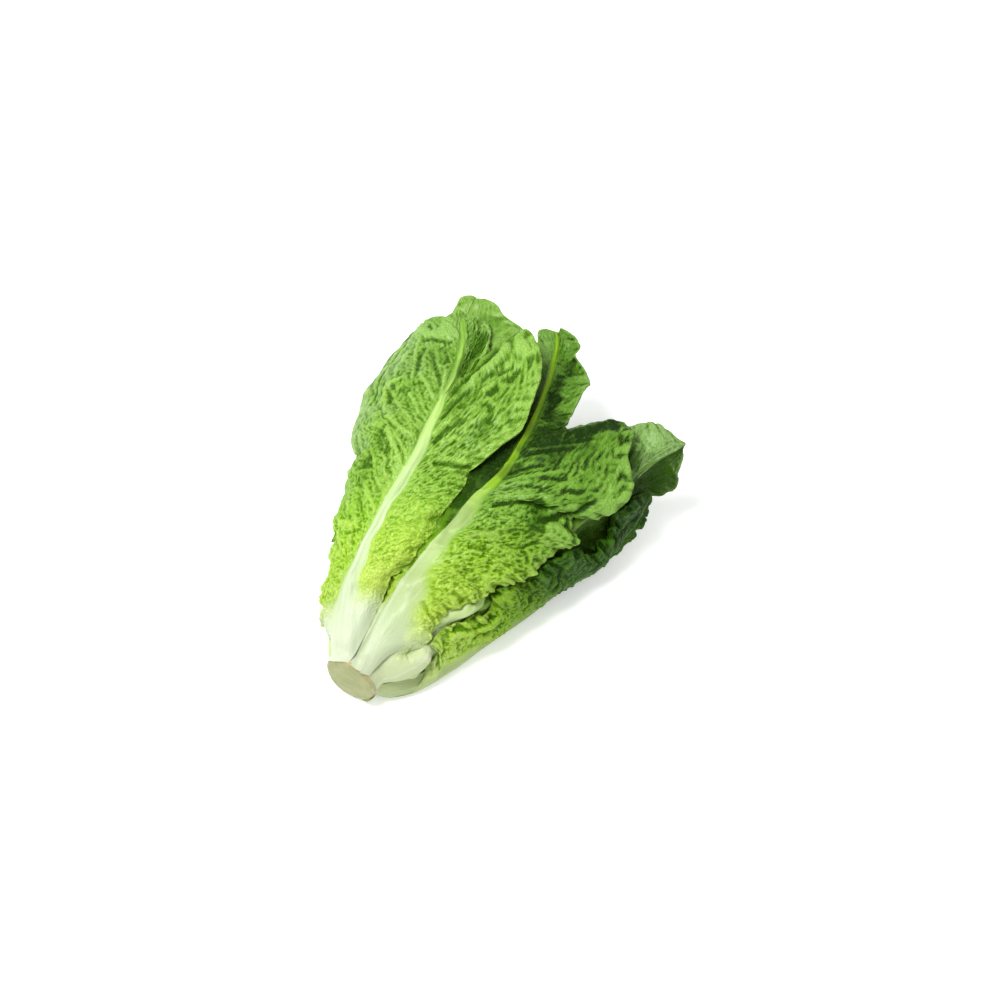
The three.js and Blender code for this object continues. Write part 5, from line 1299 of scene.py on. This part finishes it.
innerTop = {
    **defaultRib,
    "name": "leaf_inner_top", "slot": "leaf_heart", "rows": 90, "columns": 49, "seed": 11, "ruffle": 1.6,
    "angle": [66, 66, 70], "along": [20, 60, 130, 180, 222],
    "spreadLeft": [40, 55, 60, 60, 52, 40, 30], "spreadRight": [40, 55, 60, 60, 52, 40, 30],
    "reach": [0.55, 0.66, 0.7, 0.7, 0.68, 0.6],
    "sideVeins": 16, "sweep": 0.22, "veinHigh": 0.5, "blister": [0.1, 0.4, 0.6, 0.7, 0.7],
    "frill": [0, 1, 1.2, 1.2, 1],
    "teeth": 1, "bladeTones": heartTones["blade"], "deepTones": heartTones["deep"],
    "paleTones": heartTones["pale"],
    "veinTones": heartTones["vein"], "ribTones": heartTones["rib"],
}
growLeaf(innerTop)


innerLeft = {
    **defaultRib,
    "name": "leaf_inner_left", "slot": "leaf_heart", "rows": 90, "columns": 49, "seed": 12, "ruffle": 1.6,
    "angle": [160, 160, 158], "along": [24, 60, 130, 180, 232],
    "spreadLeft": [40, 60, 65, 62, 55, 40, 30], "spreadRight": [40, 60, 65, 62, 55, 40, 30],
    "reach": [0.42, 0.52, 0.56, 0.56, 0.54, 0.5],
    "sideVeins": 16, "sweep": 0.22, "veinHigh": 0.5, "blister": [0.1, 0.4, 0.6, 0.7, 0.7],
    "frill": [0, 1, 1.2, 1.2, 1],
    "teeth": 1, "bladeTones": heartTones["blade"], "deepTones": heartTones["deep"],
    "paleTones": heartTones["pale"],
    "veinTones": heartTones["vein"], "ribTones": heartTones["rib"],
}
growLeaf(innerLeft)


innerMiddle = {
    **defaultRib,
    "name": "leaf_inner_middle", "slot": "leaf_heart", "rows": 90, "columns": 49, "seed": 13, "ruffle": 1.6,
    "angle": [0, 0, -2], "along": [28, 60, 130, 180, 228],
    "spreadLeft": [40, 60, 65, 62, 55, 40, 30], "spreadRight": [40, 60, 65, 62, 55, 40, 30],
    "reach": [0.36, 0.46, 0.5, 0.5, 0.48, 0.42],
    "sideVeins": 16, "sweep": 0.22, "veinHigh": 0.5, "blister": [0.1, 0.4, 0.6, 0.7, 0.7],
    "frill": [0, 1, 1.2, 1.2, 1],
    "teeth": 1, "bladeTones": heartTones["blade"], "deepTones": heartTones["deep"],
    "paleTones": heartTones["pale"],
    "veinTones": heartTones["vein"], "ribTones": heartTones["rib"],
}
growLeaf(innerMiddle)


heartTop = {
    **defaultRib,
    "name": "leaf_heart_top", "slot": "leaf_heart", "rows": 90, "columns": 49, "seed": 14, "ruffle": 1.2,
    "angle": [95, 95, 92], "along": [34, 60, 110, 160, 212],
    "spreadLeft": [60, 75, 80, 75, 65, 50, 34], "spreadRight": [60, 75, 80, 75, 65, 50, 34],
    "reach": [0.28, 0.35, 0.38, 0.38, 0.36, 0.3],
    "sideVeins": 16, "sweep": 0.22, "veinHigh": 0.5, "blister": [0.1, 0.4, 0.6, 0.7, 0.7],
    "frill": [0, 1, 1.2, 1.2, 1],
    "teeth": 1, "bladeTones": heartTones["blade"], "deepTones": heartTones["deep"],
    "paleTones": heartTones["pale"],
    "veinTones": heartTones["vein"], "ribTones": heartTones["rib"],
}
growLeaf(heartTop)


heartUnder = {
    **defaultRib,
    "name": "leaf_heart_under", "slot": "leaf_heart", "rows": 90, "columns": 49, "seed": 15, "ruffle": 1.2,
    "angle": [-80, -80, -84], "along": [40, 60, 110, 160, 202],
    "spreadLeft": [60, 75, 80, 75, 65, 50, 34], "spreadRight": [60, 75, 80, 75, 65, 50, 34],
    "reach": [0.2, 0.26, 0.3, 0.3, 0.28, 0.2],
    "sideVeins": 16, "sweep": 0.22, "veinHigh": 0.5, "blister": [0.1, 0.4, 0.6, 0.7, 0.7],
    "frill": [0, 1, 1.2, 1.2, 1],
    "teeth": 1, "bladeTones": heartTones["blade"], "deepTones": heartTones["deep"],
    "paleTones": heartTones["pale"],
    "veinTones": heartTones["vein"], "ribTones": heartTones["rib"],
}
growLeaf(heartUnder)


# floor, light and camera

studio = {"floor": 6.0, "floorTone": (247, 248, 247), "floorGlow": 0.3, "world": 0.75,
          "key": (-0.5, -0.55, 1.85), "keySize": 0.9, "keyPower": 50,
          "fill": (1.6, -0.9, 1.1), "fillSize": 1.6, "fillPower": 4}


def layFloor():
    bpy.ops.object.select_all(action="DESELECT")
    bpy.ops.mesh.primitive_plane_add(size=studio["floor"], location=(0, 0, 0))
    floor = bpy.context.object
    floor.name = "floor"
    paper = bpy.data.materials.new("floor_paper")
    paper.use_nodes = True
    shader = paper.node_tree.nodes["Principled BSDF"]
    shader.inputs["Base Color"].default_value = paint(*studio["floorTone"])
    shader.inputs["Roughness"].default_value = 0.9
    shader.inputs["Emission Color"].default_value = (1, 1, 1, 1)
    shader.inputs["Emission Strength"].default_value = studio["floorGlow"]
    floor.data.materials.append(paper)


def addLamp(name, place, size, power):
    bpy.ops.object.light_add(type="AREA", location=place)
    lamp = bpy.context.object
    lamp.name = name
    lamp.data.shape, lamp.data.size, lamp.data.energy = "SQUARE", size, power
    towards = -lamp.location
    lamp.rotation_euler = towards.to_track_quat("-Z", "Y").to_euler()


layFloor()
addLamp("key_light", studio["key"], studio["keySize"], studio["keyPower"])
addLamp("fill_light", studio["fill"], studio["fillSize"], studio["fillPower"])
world = bpy.data.worlds.new("studio")
bpy.context.scene.world = world
world.use_nodes = True
world.node_tree.nodes["Background"].inputs["Color"].default_value = (1, 1, 1, 1)
world.node_tree.nodes["Background"].inputs["Strength"].default_value = studio["world"]
bpy.context.scene.view_settings.view_transform = "Standard"

# the camera looks down on the head, turned towards its right
viewFrom = {"turn": 32.3, "down": 57.0, "lens": 250, "sensor": 36, "across": 672.0,
            "aim": (7.8, 174.5, 22.0)}


def placeCamera():
    view = viewFrom
    turn, down = radians(view["turn"]), radians(view["down"])
    distance = view["across"] * view["lens"] / view["sensor"] * mm
    aim = (np.array(view["aim"]) - headMiddle) * mm
    back = np.array([sin(turn) * cos(down), -cos(turn) * cos(down), sin(down)])
    bpy.ops.object.camera_add(location=tuple(aim + back * distance), rotation=(pi / 2 - down, 0, turn))
    camera = bpy.context.object
    camera.name = "camera"
    camera.data.lens, camera.data.sensor_width = view["lens"], view["sensor"]
    camera.data.clip_end = 20
    bpy.context.scene.camera = camera


placeCamera()
